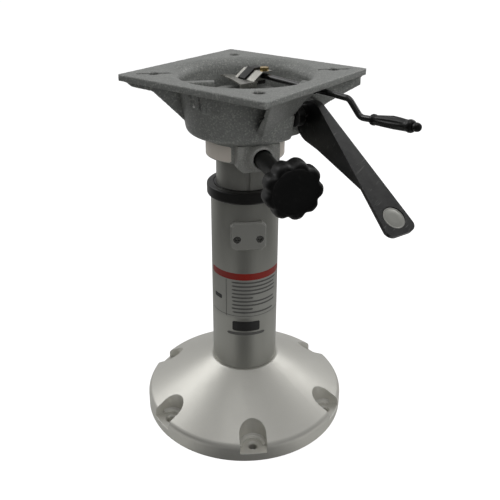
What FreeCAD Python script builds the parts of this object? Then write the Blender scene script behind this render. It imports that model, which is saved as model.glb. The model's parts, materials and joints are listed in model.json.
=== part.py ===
import FreeCAD, Part
import math
import os
import Sketcher

# Boat seat pedestal: a cast foot, a column tube, a sliding post on a gas spring, and a swivelling
# seat mount with its release rod, swivel brake lever and tension knob.
# Millimetres. The origin is the middle of the foot's underside, +Z is up along the column.
# The side with both levers faces +X.

Vector = FreeCAD.Vector
Rotation = FreeCAD.Rotation
Placement = FreeCAD.Placement

doc = FreeCAD.newDocument("BoatSeatPedestal")
sheet = doc.addObject("Spreadsheet::Sheet", "Dims")

DIMENSIONS = [
    # Foot casting
    ("FootDiameter", 228.6, "nine inch foot"),
    ("FootRimHeight", 18.2, "height at which the cone would meet the rim"),
    ("FootSlope", 30, "slope of the cone in degrees"),
    ("FootShoulder", 7, "rounding between rim and cone"),
    ("FootConeTop", 78, "diameter of the cone's top edge"),
    ("FootWall", 5, "wall of the casting"),
    ("FootBoltCircle", 203.2, "eight inch circle of the deck screws"),
    ("FootBoltCount", 6, "deck screws"),
    ("FootFirstBolt", -47.6, "angle of the first deck screw"),
    ("FootBoltHole", 8.7, "deck screw hole"),
    ("FootCountersink", 12.4, "mouth of the countersink"),
    ("FootCountersinkDepth", 1.9, "depth of the countersink"),
    ("ScallopDiameter", 29, "width of the pocket round each screw"),
    ("ScallopFloor", 9.5, "height of the pocket's floor"),
    ("ScallopWall", 4, "wall left round the pocket under the cone"),
    ("SocketWall", 6, "wall round the foot of the tube"),
    ("SocketSeat", 8, "height of the ledge that the tube stands on"),
    ("SocketLip", 8, "width of that ledge"),
    # Column tube and collar
    ("ColumnDiameter", 73, "two and seven eighths inch tube"),
    ("ColumnWall", 3.2, "wall of the tube"),
    ("ColumnTop", 270, "top end of the tube"),
    ("CollarDiameter", 81, "moulded collar"),
    ("CollarBottom", 264.4, "lower edge of the collar"),
    ("CollarTop", 277, "top face of the collar"),
    ("CollarRound", 2.2, "rounded outer edges of the collar"),
    ("CollarSleeveLength", 24, "sleeve inside the tube, below its top end"),
    ("CollarLip", 2.2, "width of the lip round the post"),
    ("CollarGroove", 1.2, "ring groove outside the lip"),
    # Anti-rotation key
    ("KeyAngle", -47, "direction of the key"),
    ("KeyPlateWidth", 37.3, "plate over the key"),
    ("KeyPlateHeight", 32.2, "plate over the key"),
    ("KeyPlateBottom", 212.7, "lower edge of the plate"),
    ("KeyPlateFace", 39.4, "flat face of the plate, from the axis"),
    ("KeyPlateCorner", 4.5, "cut corners of the plate"),
    ("KeyPlateEdge", 1.4, "bevel round the face"),
    ("KeyScrewSpacing", 23.8, "between the two screws"),
    ("KeyScrewHeight", 225.7, "height of the screws"),
    ("KeyScrewHead", 8.4, "countersunk head"),
    ("KeyScrewShank", 4, "shank of the screw"),
    ("KeyWidth", 4.3, "tongue that runs in the post's groove"),
    ("KeyHeadWidth", 8.9, "part of the key in the tube's wall"),
    ("KeyBottom", 219, "lower end of the key"),
    ("KeyHeight", 20, "length of the key"),
    # Sliding post
    ("PostDiameter", 61, "outside of the post"),
    ("PostWall", 3.5, "wall of the post"),
    ("PostBottom", 100, "lower end with the seat at its shown height"),
    ("PostTop", 362, "upper end of the post"),
    ("GrooveWidth", 4.6, "groove for the key"),
    ("GrooveDepth", 2.2, "groove for the key"),
    ("GuideRingHeight", 20, "ring at the post's lower end"),
    ("WasherThickness", 1.5, "thrust washer on the post's top end"),
    ("RetainingRingHeight", 1.8, "ring that keeps the seat mount on the post"),
    ("RetainingRingWidth", 2.1, "radial width of that ring"),
    # Gas spring
    ("SpringDiameter", 28, "pressure tube"),
    ("SpringWall", 2, "wall of the pressure tube"),
    ("SpringBottom", 130, "lower end of the pressure tube"),
    ("SpringTop", 350, "upper end of the pressure tube"),
    ("SpringEndCap", 7, "thickness of both ends"),
    ("SpringRodDiameter", 10, "piston rod"),
    ("SpringRodThread", 8, "threaded foot of the piston rod"),
    ("SpringRodTop", 244, "upper end of the piston rod"),
    ("PistonHeight", 9, "piston"),
    ("MountDiscHeight", 8, "disc that holds the spring in the post"),
    ("MountDiscBottom", 300, "lower face of that disc"),
    ("FootDiscHeight", 4, "disc that holds the piston rod in the foot"),
    ("RodNutSize", 13, "across the flats"),
    ("RodNutHeight", 5, "nut under the foot disc"),
    ("PinDiameter", 6, "release pin of the spring"),
    ("PinHead", 12, "button on the release pin"),
    ("PinHeadHeight", 4, "button on the release pin"),
    ("PinTop", 371.7, "top of the button"),
    # Seat mount casting
    ("PlateSide", 177.8, "seven inch seat plate"),
    ("PlateTop", 393, "top face of the seat plate"),
    ("PlateThickness", 7, "edge of the seat plate"),
    ("PlateCorner", 8, "rounded corners of the seat plate"),
    ("PlateHoleSpacing", 127, "five inch square of seat bolts"),
    ("PlateHole", 11, "seat bolt hole"),
    ("PlateHoleBevel", 1, "bevel of the seat bolt holes"),
    ("BowlTopDiameter", 138.8, "outside of the bowl under the plate"),
    ("BowlLowDiameter", 122.8, "outside of the bowl at its lower corner"),
    ("BowlCornerRound", 8, "lower corner of the bowl"),
    ("BowlBottom", 331, "underside of the bowl"),
    ("BowlCrown", 1.4, "rise of the underside towards its corner"),
    ("BowlWall", 4.6, "wall of the bowl"),
    ("BowlFloor", 7.5, "floor of the bowl"),
    ("MouthRound", 13, "rounded mouth of the bowl"),
    ("FloorRound", 6, "rounding inside the bowl's floor"),
    ("BossDiameter", 80, "boss round the post inside the bowl"),
    ("BossDraft", 1.6, "taper of the boss"),
    ("BossTop", 371.5, "top of the boss"),
    ("BearingBore", 66.1, "bore for the swivel bushings"),
    ("LipBore", 55, "opening above the thrust washer"),
    ("RunningGap", 0.3, "gap between faces that move past each other"),
    ("GussetReach", 117.5, "outer end of the corner gussets"),
    ("GussetThickness", 14, "corner gussets"),
    ("GussetNose", 6, "depth of the gusset's outer end below the plate"),
    ("TopGrooveWidth", 3.6, "cored groove along the gusset"),
    ("TopGrooveDepth", 5, "cored groove along the gusset"),
    ("TopGrooveStart", 74, "inner end of the groove"),
    ("TopGrooveEnd", 107, "outer end of the groove"),
    ("HighRibTop", 384, "top of the rib that crosses the bowl's channel"),
    ("HighRibThickness", 9, "that rib"),
    ("LowRibTop", 362, "top of the other ribs"),
    ("LowRibThickness", 5, "the other ribs"),
    ("SkirtFace", 86.5, "skirt under the plate's edge, from the axis"),
    ("SkirtFoot", 45.5, "where the skirt runs out on the bowl"),
    ("SkirtBottom", 338, "lower end of the skirt"),
    ("SkirtLeft", 77, "left end of the skirt at the plate"),
    ("SkirtFootLeft", 34.6, "left end of the skirt at its foot"),
    ("SkirtRight", -4, "right end of the skirt"),
    ("CheekRight", 8, "right end of the block that the clevis cheek is cut from"),
    ("SkirtWall", 5, "wall of the skirt"),
    ("WindowWidth", 6.4, "two core windows in the bowl"),
    ("WindowBottom", 366, "two core windows in the bowl"),
    ("WindowHeight", 14, "two core windows in the bowl"),
    ("PanelWidth", 12, "sunk panel beside the windows"),
    ("PanelDepth", 1.6, "sunk panel beside the windows"),
    # Swivel neck
    ("NeckDiameter", 82, "neck under the bowl"),
    ("NeckBottom", 309, "lower end of the neck"),
    ("NeckLand", 62.4, "narrow part of the neck's bore"),
    ("NeckLandBottom", 314.6, "narrow part of the neck's bore"),
    ("NeckLandTop", 325.9, "narrow part of the neck's bore"),
    ("ClampFace", 47.5, "face of the clamp boss, from the axis"),
    ("ClampWidth", 43, "width of the clamp boss"),
    ("ClampBottom", 303, "lower face of the clamp boss"),
    ("ClampCorner", 5, "cut corners of the clamp boss"),
    ("NeckScrewCircle", 74, "four screws that hold the neck"),
    ("NeckScrew", 4, "shank of those screws"),
    ("NeckScrewHead", 7, "head of those screws"),
    ("NeckScrewHeadHeight", 4, "head of those screws"),
    ("NeckScrewGrip", 12, "length of those screws in the bowl"),
    ("UpperBushingBottom", 336, "upper swivel bushing"),
    ("UpperBushingTop", 351, "upper swivel bushing"),
    # Tension knob
    ("KnobAngle", -36, "direction of the knob"),
    ("KnobHeight", 320, "height of its axis"),
    ("KnobDiameter", 58, "across the lobes"),
    ("KnobFace", 151, "front of the knob, from the column's axis"),
    ("KnobDepth", 22, "thickness of the knob's head"),
    ("KnobFaceDiameter", 47, "flat front"),
    ("KnobDish", 0.8, "depth of the dished front"),
    ("KnobLobes", 9, "lobes round the knob"),
    ("KnobScallop", 9, "radius of the hollow between two lobes"),
    ("KnobScallopDepth", 3.4, "depth of that hollow"),
    ("StemDiameter", 20, "neck of the knob"),
    ("StemGap", 1.5, "between the neck and the clamp boss"),
    ("CounterboreDiameter", 22.4, "turned recess round the stud"),
    ("CounterboreDepth", 2, "turned recess round the stud"),
    ("StudDiameter", 8, "stud of the knob"),
    ("StudEnd", 38.3, "inner end of the stud, from the axis"),
    ("StudGrip", 12, "length of the stud inside the knob"),
    ("PadDiameter", 9, "friction pad in front of the stud"),
    ("PadTip", 31.8, "tip of the pad, from the axis"),
    # Swivel brake lever
    ("LeverAngle", -18, "direction of the lever"),
    ("LeverOffset", 33.3, "lever's middle plane, sideways from the axis"),
    ("HubReach", 67.5, "middle of the lever's round head, outwards from the axis"),
    ("HubHeight", 351.5, "height of the head's middle"),
    ("PivotReach", 59, "pivot, outwards from the axis"),
    ("PivotHeight", 361.5, "height of the pivot"),
    ("PivotDiameter", 8, "pivot pin"),
    ("LeverSlope", 36, "lever below the horizontal"),
    ("LeverHub", 42, "round head of the lever"),
    ("LeverHubWidth", 8, "width of that head"),
    ("LeverLength", 148, "from the pivot to the tip, along the lever"),
    ("WebLength", 93.5, "where the web runs out under the flange"),
    ("FlangeThickness", 4, "top flange"),
    ("TipWidth", 32, "flange at the tip"),
    ("TipRound", 8, "rounded tip corners"),
    ("WebThickness", 5, "web under the flange"),
    ("BarrelDiameter", 12.4, "barrel on the pivot pin"),
    ("CamDiameter", 20, "brake cam on the barrel"),
    ("CamThrow", 4, "the cam's middle below the pivot"),
    ("CamWidth", 7.6, "brake cam on the barrel"),
    ("SlotLeft", 15, "left wall of the lever slot, sideways from the axis"),
    ("SlotRight", 38, "right wall of the lever slot"),
    ("SlotTop", 379, "top of the lever slot"),
    ("CheekThickness", 7, "left cheek of the clevis"),
    ("LugThickness", 6, "right lug of the clevis"),
    ("LugDiameter", 22, "right lug of the clevis"),
    ("DiscDiameter", 21.6, "disc let into the lever's tip"),
    ("DiscReach", 130, "middle of the disc, along the lever"),
    ("DiscThickness", 1, "disc let into the lever's tip"),
    ("DiscDepth", 0.8, "depth of its recess"),
    ("PlungerDiameter", 8, "brake plunger"),
    ("PlungerHead", 11, "head of the plunger"),
    ("PlungerHeadLength", 3, "head of the plunger"),
    ("PlungerOffset", 19.2, "plunger, sideways from the axis"),
    # Release rod
    ("RodAngle", -14.3, "direction of the release rod"),
    ("RodOffset", 33, "rod, sideways from the axis"),
    ("RodHeight", 382, "height of the rod"),
    ("RodDiameter", 6, "release rod"),
    ("RodInnerEnd", -38, "inner end of the rod"),
    ("RodBendStart", 112.5, "first bend of the rod"),
    ("RodBendEnd", 127.5, "second bend of the rod"),
    ("RodDrop", 13.8, "drop of the rod between its bends"),
    ("RodRise", 6.5, "slope of the rod's outer end in degrees"),
    ("RodBendRadius", 9, "bends of the rod"),
    ("GripStart", 142, "inner end of the grip"),
    ("GripLength", 51, "grip"),
    ("GripDiameter", 12, "grip"),
    ("GripNubLength", 7, "end of the rod beyond the grip"),
    ("BushDiameter", 9.2, "bush in the bowl's wall"),
    ("BushStart", 48, "inner end of the bush"),
    ("BushEnd", 66, "outer end of the bush"),
    ("BushWall", 1.6, "casting round the bush"),
    # Bearing block and release plate
    ("BlockLeft", -29.6, "bearing block of the rod"),
    ("BlockRight", -18.6, "bearing block of the rod"),
    ("BlockFront", 14, "bearing block of the rod"),
    ("BlockBack", 42, "bearing block of the rod"),
    ("BlockHeight", 18, "bearing block of the rod"),
    ("SheetThickness", 1.6, "zinc plated sheet"),
    ("WingHeight", 377.6, "underside of the release plate's wing"),
    ("WingTip", -54, "left end of the wing"),
    ("ArmRise", 8.4, "height of the arms above the wing"),
    ("ArmBack", 40, "far end of the arms"),
    ("ArmWidth", 13, "right arm"),
    ("NarrowArmWidth", 6, "left arm"),
    ("PressTab", 5.6, "tab that presses the release pin"),
    ("ClampNutSize", 8, "nut on the right arm"),
    ("ClampNutHeight", 3.6, "nut on the right arm"),
    # Fits
    ("FitGap", 0.05, "radial gap of a fitted pair"),
    ("SlideGap", 0.08, "radial gap of a sliding or turning pair"),
]

for row, (alias, size, note) in enumerate(DIMENSIONS, start=1):
    sheet.set(f"A{row}", alias)
    sheet.set(f"B{row}", str(size))
    sheet.set(f"C{row}", note)
    sheet.setAlias(f"B{row}", alias)
doc.recompute()

nodes = []


def value(expression):
    """Number that an expression over the sheet gives now."""
    return float(sheet.evalExpression(expression))


def new_body(name):
    """Empty body for one piece or one cutting tool."""
    body = doc.addObject("PartDesign::Body", name)
    return body


def attach(body, name, role, shift=None, tilt=None):
    """Sketch on one of the body's own origin planes, moved by expressions for x, y and z in the plane."""
    sketch = body.newObject("Sketcher::SketchObject", name)
    plane = next(item for item in body.Origin.OriginFeatures if item.Role == role)
    sketch.AttachmentSupport = [(plane, "")]
    sketch.MapMode = "FlatFace"
    for letter, expression in (shift or {}).items():
        sketch.setExpression(f".AttachmentOffset.Base.{letter}", expression)
    if tilt:
        sketch.AttachmentOffset = Placement(Vector(), Rotation(Vector(0, 0, 1), 1))
        sketch.setExpression(".AttachmentOffset.Rotation.Angle", tilt)
    return sketch


def arc_between(start, end, radius):
    """Short arc from start to end: it turns left for a positive radius and right for a negative one."""
    chord = end - start
    side = Vector(-chord.y, chord.x, 0).normalize()
    height = max(radius * radius - chord.Length ** 2 / 4, 0) ** 0.5
    centre = start + chord / 2 + side * (height if radius > 0 else -height)
    middle = centre - side * radius
    return Part.Arc(start, middle, end)


def outline(body, name, role, corners, shift=None, tilt=None):
    """Closed outline whose corners are bound to the sheet.

    A corner is (x, y) or (x, y, bend). With bend, the side that starts there is an arc of that radius.
    """
    sketch = attach(body, name, role, shift, tilt)
    count = len(corners)
    places = [Vector(value(corner[0]), value(corner[1]), 0) for corner in corners]
    first_ends = []
    for index, corner in enumerate(corners):
        start = places[index]
        end = places[(index + 1) % count]
        if len(corner) == 2:
            sketch.addGeometry(Part.LineSegment(start, end), False)
            first_ends.append(1)
            continue
        bend = value(corner[2])
        arc = arc_between(start, end, bend)
        sketch.addGeometry(arc, False)
        first_ends.append(1 if bend > 0 else 2)
    for index in range(count):
        following = (index + 1) % count
        sketch.addConstraint(Sketcher.Constraint(
            "Coincident", index, 3 - first_ends[index], following, first_ends[following]))
    for index, corner in enumerate(corners):
        for kind, expression, number in (
                ("DistanceX", corner[0], places[index].x), ("DistanceY", corner[1], places[index].y)):
            constraint = sketch.addConstraint(
                Sketcher.Constraint(kind, -1, 1, index, first_ends[index], number))
            sketch.setExpression(f"Constraints[{constraint}]", expression)
        if len(corner) == 3:
            radius = abs(value(corner[2]))
            constraint = sketch.addConstraint(Sketcher.Constraint("Radius", index, radius))
            sketch.setExpression(f"Constraints[{constraint}]", f"abs({corner[2]})")
    return sketch


def circles(body, name, role, rounds, shift=None, tilt=None):
    """Sketch of circles, each given by expressions for its middle and its radius."""
    sketch = attach(body, name, role, shift, tilt)
    for index, (across, up, radius) in enumerate(rounds):
        middle = Vector(value(across), value(up), 0)
        sketch.addGeometry(Part.Circle(middle, Vector(0, 0, 1), value(radius)), False)
        for kind, expression, number in (("DistanceX", across, middle.x), ("DistanceY", up, middle.y)):
            constraint = sketch.addConstraint(Sketcher.Constraint(kind, -1, 1, index, 3, number))
            sketch.setExpression(f"Constraints[{constraint}]", expression)
        constraint = sketch.addConstraint(Sketcher.Constraint("Radius", index, value(radius)))
        sketch.setExpression(f"Constraints[{constraint}]", radius)
    return sketch


def box_corners(left, right, low, high):
    """Four corners of an upright rectangle."""
    return [(left, low), (right, low), (right, high), (left, high)]


def pad(body, sketch, length, symmetric=False, reverse=False):
    """Material pulled from a sketch."""
    feature = body.newObject("PartDesign::Pad", "Pad")
    feature.Profile = sketch
    feature.SideType = "Symmetric" if symmetric else "One side"
    feature.Reversed = reverse
    feature.setExpression("Length", length)
    return feature


def pocket(body, sketch, length=None, reverse=False):
    """Material removed along a sketch, through everything both ways without a length."""
    feature = body.newObject("PartDesign::Pocket", "Pocket")
    feature.Profile = sketch
    if length is None:
        feature.Type = "ThroughAll"
        feature.SideType = "Symmetric"
    else:
        feature.Reversed = reverse
        feature.setExpression("Length", length)
    return feature


def turn(body, sketch, kind="PartDesign::Revolution", axis="V_Axis"):
    """Material turned about one of the sketch's axes, or cut away with a groove."""
    feature = body.newObject(kind, "Turned")
    feature.Profile = sketch
    feature.ReferenceAxis = (sketch, [axis])
    feature.Angle = 360
    return feature


def turned(name, corners, axis="V_Axis", shift=None, tilt=None):
    """Body turned from one outline."""
    body = new_body(name)
    turn(body, outline(body, name + "Profile", "XZ_Plane", corners, shift, tilt), axis=axis)
    return body


def slab(name, role, corners, length, symmetric=True, shift=None, tilt=None):
    """Body of even thickness from one outline."""
    body = new_body(name)
    pad(body, outline(body, name + "Outline", role, corners, shift, tilt), length, symmetric)
    return body


def place(item, angle=None, axis=Vector(0, 0, 1), **base):
    """Placement bound to the sheet: a turn about an axis and a shift."""
    if angle is not None:
        item.Placement = Placement(Vector(), Rotation(axis, 1))
        item.setExpression(".Placement.Rotation.Angle", angle)
    for letter, expression in base.items():
        item.setExpression(f".Placement.Base.{letter}", expression)
    return item


def cylinder(name, radius, height, **base):
    """Upright cylinder."""
    item = doc.addObject("Part::Cylinder", name)
    item.setExpression("Radius", radius)
    item.setExpression("Height", height)
    return place(item, **base)


def joined(name, items):
    """One solid from several."""
    fusion = doc.addObject("Part::MultiFuse", name)
    fusion.Shapes = items
    fusion.Refine = False
    return fusion


def cut(name, base, tools):
    """Base without its tools."""
    result = doc.addObject("Part::Cut", name)
    result.Base = base
    result.Tool = tools[0] if len(tools) == 1 else joined(name + "Tools", tools)
    result.Refine = False
    return result


def common(name, first, second):
    """What two solids share."""
    result = doc.addObject("Part::Common", name)
    result.Base = first
    result.Tool = second
    return result


def group(name, items):
    """Several equal solids in one node."""
    result = doc.addObject("Part::Compound", name)
    result.Links = items
    return result


def node(item, label):
    """Keep an object as a piece of the pedestal."""
    item.Label = label
    nodes.append(item)
    return item


COLUMN_RADIUS = "Dims.ColumnDiameter/2"
COLUMN_BORE = "(Dims.ColumnDiameter/2-Dims.ColumnWall)"
POST_RADIUS = "Dims.PostDiameter/2"
POST_BORE = "(Dims.PostDiameter/2-Dims.PostWall)"
PLATE_BOTTOM = "(Dims.PlateTop-Dims.PlateThickness)"
PIN_LENGTH = "(Dims.SlotRight+Dims.LugThickness-Dims.SlotLeft+Dims.CheekThickness)"


def build_base_flange():
    """Hollow cone with six screw pockets and a socket for the tube."""
    rim = "Dims.FootDiameter/2"
    tangent = "Dims.FootShoulder*tan((90-Dims.FootSlope)/2)"
    cone_top = "Dims.FootConeTop/2"
    top = f"(Dims.FootRimHeight+({rim}-{cone_top})*tan(Dims.FootSlope))"
    outer = turned("FootOuter", [
        ("0", "0"), (rim, "0"),
        (rim, f"Dims.FootRimHeight-{tangent}", "Dims.FootShoulder"),
        (f"{rim}-{tangent}*cos(Dims.FootSlope)", f"Dims.FootRimHeight+{tangent}*sin(Dims.FootSlope)"),
        (cone_top, top), ("0", top)])
    socket = f"({COLUMN_RADIUS}+Dims.FitGap)"
    inner_rim = f"({rim}-Dims.FootWall)"
    boss = f"({socket}+Dims.SocketWall)"
    lowered = "(Dims.FootRimHeight-Dims.FootWall/cos(Dims.FootSlope))"
    hollow = turned("FootHollow", [
        (boss, "-1"), (inner_rim, "-1"),
        (inner_rim, f"{lowered}+Dims.FootWall*tan(Dims.FootSlope)"),
        (boss, f"{lowered}+({rim}-{boss})*tan(Dims.FootSlope)")])
    bore = turned("FootBore", [
        ("0", "-1"), (f"{socket}-Dims.SocketLip", "-1"), (f"{socket}-Dims.SocketLip", "Dims.SocketSeat"),
        (socket, "Dims.SocketSeat"), (socket, f"{top}+1"), ("0", f"{top}+1")])
    columns = []
    pockets = []
    for index in range(int(value("Dims.FootBoltCount"))):
        angle = f"Dims.FootFirstBolt+{index}*360/Dims.FootBoltCount"
        columns.append(cylinder(
            f"ScrewColumn{index}", "Dims.ScallopDiameter/2+Dims.ScallopWall", top,
            x=f"Dims.FootBoltCircle/2*cos({angle})", y=f"Dims.FootBoltCircle/2*sin({angle})"))
        scallop = new_body(f"Scallop{index}")
        place(scallop, angle)
        floor = {"z": "Dims.ScallopFloor"}
        pad(scallop, circles(scallop, f"Round{index}", "XY_Plane", [
            ("Dims.FootBoltCircle/2", "0", "Dims.ScallopDiameter/2")], floor), top)
        pad(scallop, outline(scallop, f"Mouth{index}", "XY_Plane", box_corners(
            "Dims.FootBoltCircle/2", f"{rim}+10", "-Dims.ScallopDiameter/2", "Dims.ScallopDiameter/2"),
            floor), top)
        hole = outline(scallop, f"Hole{index}", "XZ_Plane", [
            ("0", "-1"), ("Dims.FootBoltHole/2", "-1"),
            ("Dims.FootBoltHole/2", "Dims.ScallopFloor-Dims.FootCountersinkDepth"),
            ("Dims.FootCountersink/2", "Dims.ScallopFloor"),
            ("Dims.FootCountersink/2", "Dims.ScallopFloor+1"), ("0", "Dims.ScallopFloor+1")],
            {"x": "Dims.FootBoltCircle/2"})
        turn(scallop, hole)
        pockets.append(scallop)
    shell = cut("FootShell", outer, [cut("FootCavity", hollow, columns)])
    return node(cut("Foot", shell, pockets + [bore]), "base_flange")


def build_column_tube():
    """Tube with a slot for the key and two screw holes."""
    body = turned("Column", box_corners(COLUMN_BORE, COLUMN_RADIUS, "Dims.SocketSeat", "Dims.ColumnTop"))
    slot = outline(body, "KeySlot", "YZ_Plane", box_corners(
        "-Dims.KeyHeadWidth/2-Dims.FitGap", "Dims.KeyHeadWidth/2+Dims.FitGap",
        "Dims.KeyBottom-Dims.FitGap", "Dims.KeyBottom+Dims.KeyHeight+Dims.FitGap"))
    pocket(body, slot, COLUMN_RADIUS, reverse=True)
    holes = circles(body, "ScrewHoles", "YZ_Plane", [
        (f"{side}Dims.KeyScrewSpacing/2", "Dims.KeyScrewHeight", "Dims.KeyScrewShank/2+Dims.FitGap")
        for side in ("-", "")])
    pocket(body, holes, COLUMN_RADIUS, reverse=True)
    return node(place(body, "Dims.KeyAngle"), "column_tube")


def build_collar_bushing():
    """Moulded collar over the tube's end, with a sleeve that guides the post."""
    guide = f"({POST_RADIUS}+Dims.SlideGap)"
    sleeve = f"({COLUMN_BORE}-Dims.FitGap)"
    skirt = f"({COLUMN_RADIUS}+Dims.FitGap)"
    outer = "Dims.CollarDiameter/2"
    lip = f"({guide}+Dims.CollarLip)"
    groove = f"({lip}+Dims.CollarGroove)"
    body = turned("Collar", [
        (guide, "Dims.ColumnTop-Dims.CollarSleeveLength"), (sleeve, "Dims.ColumnTop-Dims.CollarSleeveLength"),
        (sleeve, "Dims.ColumnTop"), (skirt, "Dims.ColumnTop"), (skirt, "Dims.CollarBottom"),
        (f"{outer}-Dims.CollarRound", "Dims.CollarBottom", "Dims.CollarRound"),
        (outer, "Dims.CollarBottom+Dims.CollarRound"),
        (outer, "Dims.CollarTop-Dims.CollarRound", "Dims.CollarRound"),
        (f"{outer}-Dims.CollarRound", "Dims.CollarTop"), (groove, "Dims.CollarTop"),
        (groove, "Dims.CollarTop-Dims.CollarGroove"), (lip, "Dims.CollarTop-Dims.CollarGroove"),
        (lip, "Dims.CollarTop"), (guide, "Dims.CollarTop")])
    return node(body, "collar_bushing")


def screw_profile(gap):
    """Half outline of a countersunk screw that points inwards along X."""
    depth = "(Dims.KeyScrewHead-Dims.KeyScrewShank)/2"
    return [
        (f"{COLUMN_BORE}*0.9", "0"), ("Dims.KeyPlateFace", "0"), ("Dims.KeyPlateFace", f"Dims.KeyScrewHead/2+{gap}"),
        (f"Dims.KeyPlateFace-{depth}", f"Dims.KeyScrewShank/2+{gap}"),
        (f"{COLUMN_BORE}*0.9", f"Dims.KeyScrewShank/2+{gap}")]


def build_key_plate():
    """Plate with a flat face and a hollow back on the tube, over the key."""
    body = new_body("KeyPlate")
    half = "Dims.KeyPlateWidth/2"
    corner = "Dims.KeyPlateCorner"
    low = "Dims.KeyPlateBottom"
    high = "(Dims.KeyPlateBottom+Dims.KeyPlateHeight)"
    pad(body, outline(body, "KeyPlateOutline", "YZ_Plane", [
        (f"-{half}+{corner}", low), (f"{half}-{corner}", low), (half, f"{low}+{corner}"),
        (half, f"{high}-{corner}"), (f"{half}-{corner}", high), (f"-{half}+{corner}", high),
        (f"-{half}", f"{high}-{corner}"), (f"-{half}", f"{low}+{corner}")]), "Dims.KeyPlateFace")
    doc.recompute()
    blank = body.Tip
    face_edges = [
        f"Edge{number}" for number, edge in enumerate(blank.Shape.Edges, start=1)
        if min(point.X for point in edge.Vertexes) > value("Dims.KeyPlateFace") - 0.01]
    bevel = body.newObject("PartDesign::Chamfer", "FaceBevel")
    bevel.Base = (blank, face_edges)
    bevel.setExpression("Size", "Dims.KeyPlateEdge")
    pocket(body, circles(body, "TubeSeat", "XY_Plane", [("0", "0", f"{COLUMN_RADIUS}+Dims.FitGap")]))
    for side in ("-", ""):
        seat = outline(body, "ScrewSeat", "XZ_Plane", screw_profile("Dims.FitGap"),
                       {"y": "Dims.KeyScrewHeight", "z": f"{side}Dims.KeyScrewSpacing/2"})
        turn(body, seat, "PartDesign::Groove", "H_Axis")
    return node(place(body, "Dims.KeyAngle"), "key_plate")


def build_guide_key():
    """Key through the tube's wall, with a tongue in the post's groove."""
    body = new_body("GuideKey")
    low = "Dims.KeyBottom"
    high = "(Dims.KeyBottom+Dims.KeyHeight)"
    head_face = f"sqrt(({COLUMN_RADIUS})^2-(Dims.KeyHeadWidth/2)^2)"
    groove_floor = f"({POST_RADIUS}-Dims.GrooveDepth+Dims.RunningGap)"
    pad(body, outline(body, "KeyHead", "XY_Plane", box_corners(
        COLUMN_BORE, head_face, "-Dims.KeyHeadWidth/2", "Dims.KeyHeadWidth/2"), {"z": low}), f"{high}-{low}")
    pad(body, outline(body, "KeyTongue", "XY_Plane", box_corners(
        groove_floor, head_face, "-Dims.KeyWidth/2", "Dims.KeyWidth/2"), {"z": low}), f"{high}-{low}")
    return node(place(body, "Dims.KeyAngle"), "guide_key")


def build_key_plate_screws():
    """Two countersunk screws with crossed recesses."""
    screws = []
    for side in ("-", ""):
        middle = {"y": "Dims.KeyScrewHeight", "z": f"{side}Dims.KeyScrewSpacing/2"}
        body = turned("KeyScrew", screw_profile("0"), "H_Axis", middle)
        across = f"(0{'+' if side else '-'}Dims.KeyScrewSpacing/2)"
        arm = "Dims.KeyScrewHead*0.3"
        half = "Dims.KeyScrewHead*0.07"
        for wide, tall in ((arm, half), (half, arm)):
            cross = outline(body, "CrossRecess", "YZ_Plane", box_corners(
                f"{across}-{wide}", f"{across}+{wide}",
                f"Dims.KeyScrewHeight-{tall}", f"Dims.KeyScrewHeight+{tall}"), {"z": "Dims.KeyPlateFace"})
            pocket(body, cross, "Dims.KeyScrewHead*0.14")
        screws.append(body)
    return node(place(group("KeyScrews", screws), "Dims.KeyAngle"), "key_plate_screws")


def build_foot_disc():
    """Disc on the socket's ledge that holds the piston rod."""
    body = turned("FootDisc", box_corners(
        "Dims.SpringRodThread/2+Dims.FitGap", f"{COLUMN_BORE}-Dims.FitGap",
        "Dims.SocketSeat", "Dims.SocketSeat+Dims.FootDiscHeight"))
    return node(body, "foot_disc")


def build_gas_spring_rod():
    """Piston rod with a shoulder on the foot disc and a threaded end below it."""
    shoulder = "(Dims.SocketSeat+Dims.FootDiscHeight)"
    body = turned("SpringRod", [
        ("0", "Dims.SocketSeat-Dims.RodNutHeight"),
        ("Dims.SpringRodThread/2", "Dims.SocketSeat-Dims.RodNutHeight"), ("Dims.SpringRodThread/2", shoulder),
        ("Dims.SpringRodDiameter/2", shoulder), ("Dims.SpringRodDiameter/2", "Dims.SpringRodTop"),
        ("0", "Dims.SpringRodTop")])
    return node(body, "gas_spring_rod")


def build_gas_spring_piston():
    """Piston on the rod's upper end."""
    body = turned("Piston", box_corners(
        "Dims.SpringRodDiameter/2+Dims.FitGap", "Dims.SpringDiameter/2-Dims.SpringWall-Dims.SlideGap",
        "Dims.SpringRodTop-Dims.PistonHeight", "Dims.SpringRodTop"))
    return node(body, "gas_spring_piston")


def hexagon(name, across_flats, bore, bottom, height):
    """Hexagon nut with a plain bore."""
    body = new_body(name)
    sketch = attach(body, name + "Outline", "XY_Plane", {"z": bottom})
    radius = value(across_flats) / 3 ** 0.5
    points = [Rotation(Vector(0, 0, 1), 60 * step).multVec(Vector(radius, 0, 0)) for step in range(6)]
    for index, point in enumerate(points):
        sketch.addGeometry(Part.LineSegment(point, points[(index + 1) % 6]), False)
    for index in range(6):
        sketch.addConstraint(Sketcher.Constraint("Coincident", index, 2, (index + 1) % 6, 1))
    for index, point in enumerate(points):
        for kind, number, ratio in (("DistanceX", point.x, point.x / radius), ("DistanceY", point.y, point.y / radius)):
            constraint = sketch.addConstraint(Sketcher.Constraint(kind, -1, 1, index, 1, number))
            sketch.setExpression(f"Constraints[{constraint}]", f"{across_flats}/sqrt(3)*{ratio:.6f}")
    pad(body, sketch, height)
    pocket(body, circles(body, name + "Bore", "XY_Plane", [("0", "0", bore)]))
    return body


def build_rod_nut():
    """Nut that draws the piston rod down on the foot disc."""
    body = hexagon("RodNut", "Dims.RodNutSize", "Dims.SpringRodThread/2+Dims.FitGap",
                   "Dims.SocketSeat-Dims.RodNutHeight", "Dims.RodNutHeight")
    return node(body, "rod_nut")


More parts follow.
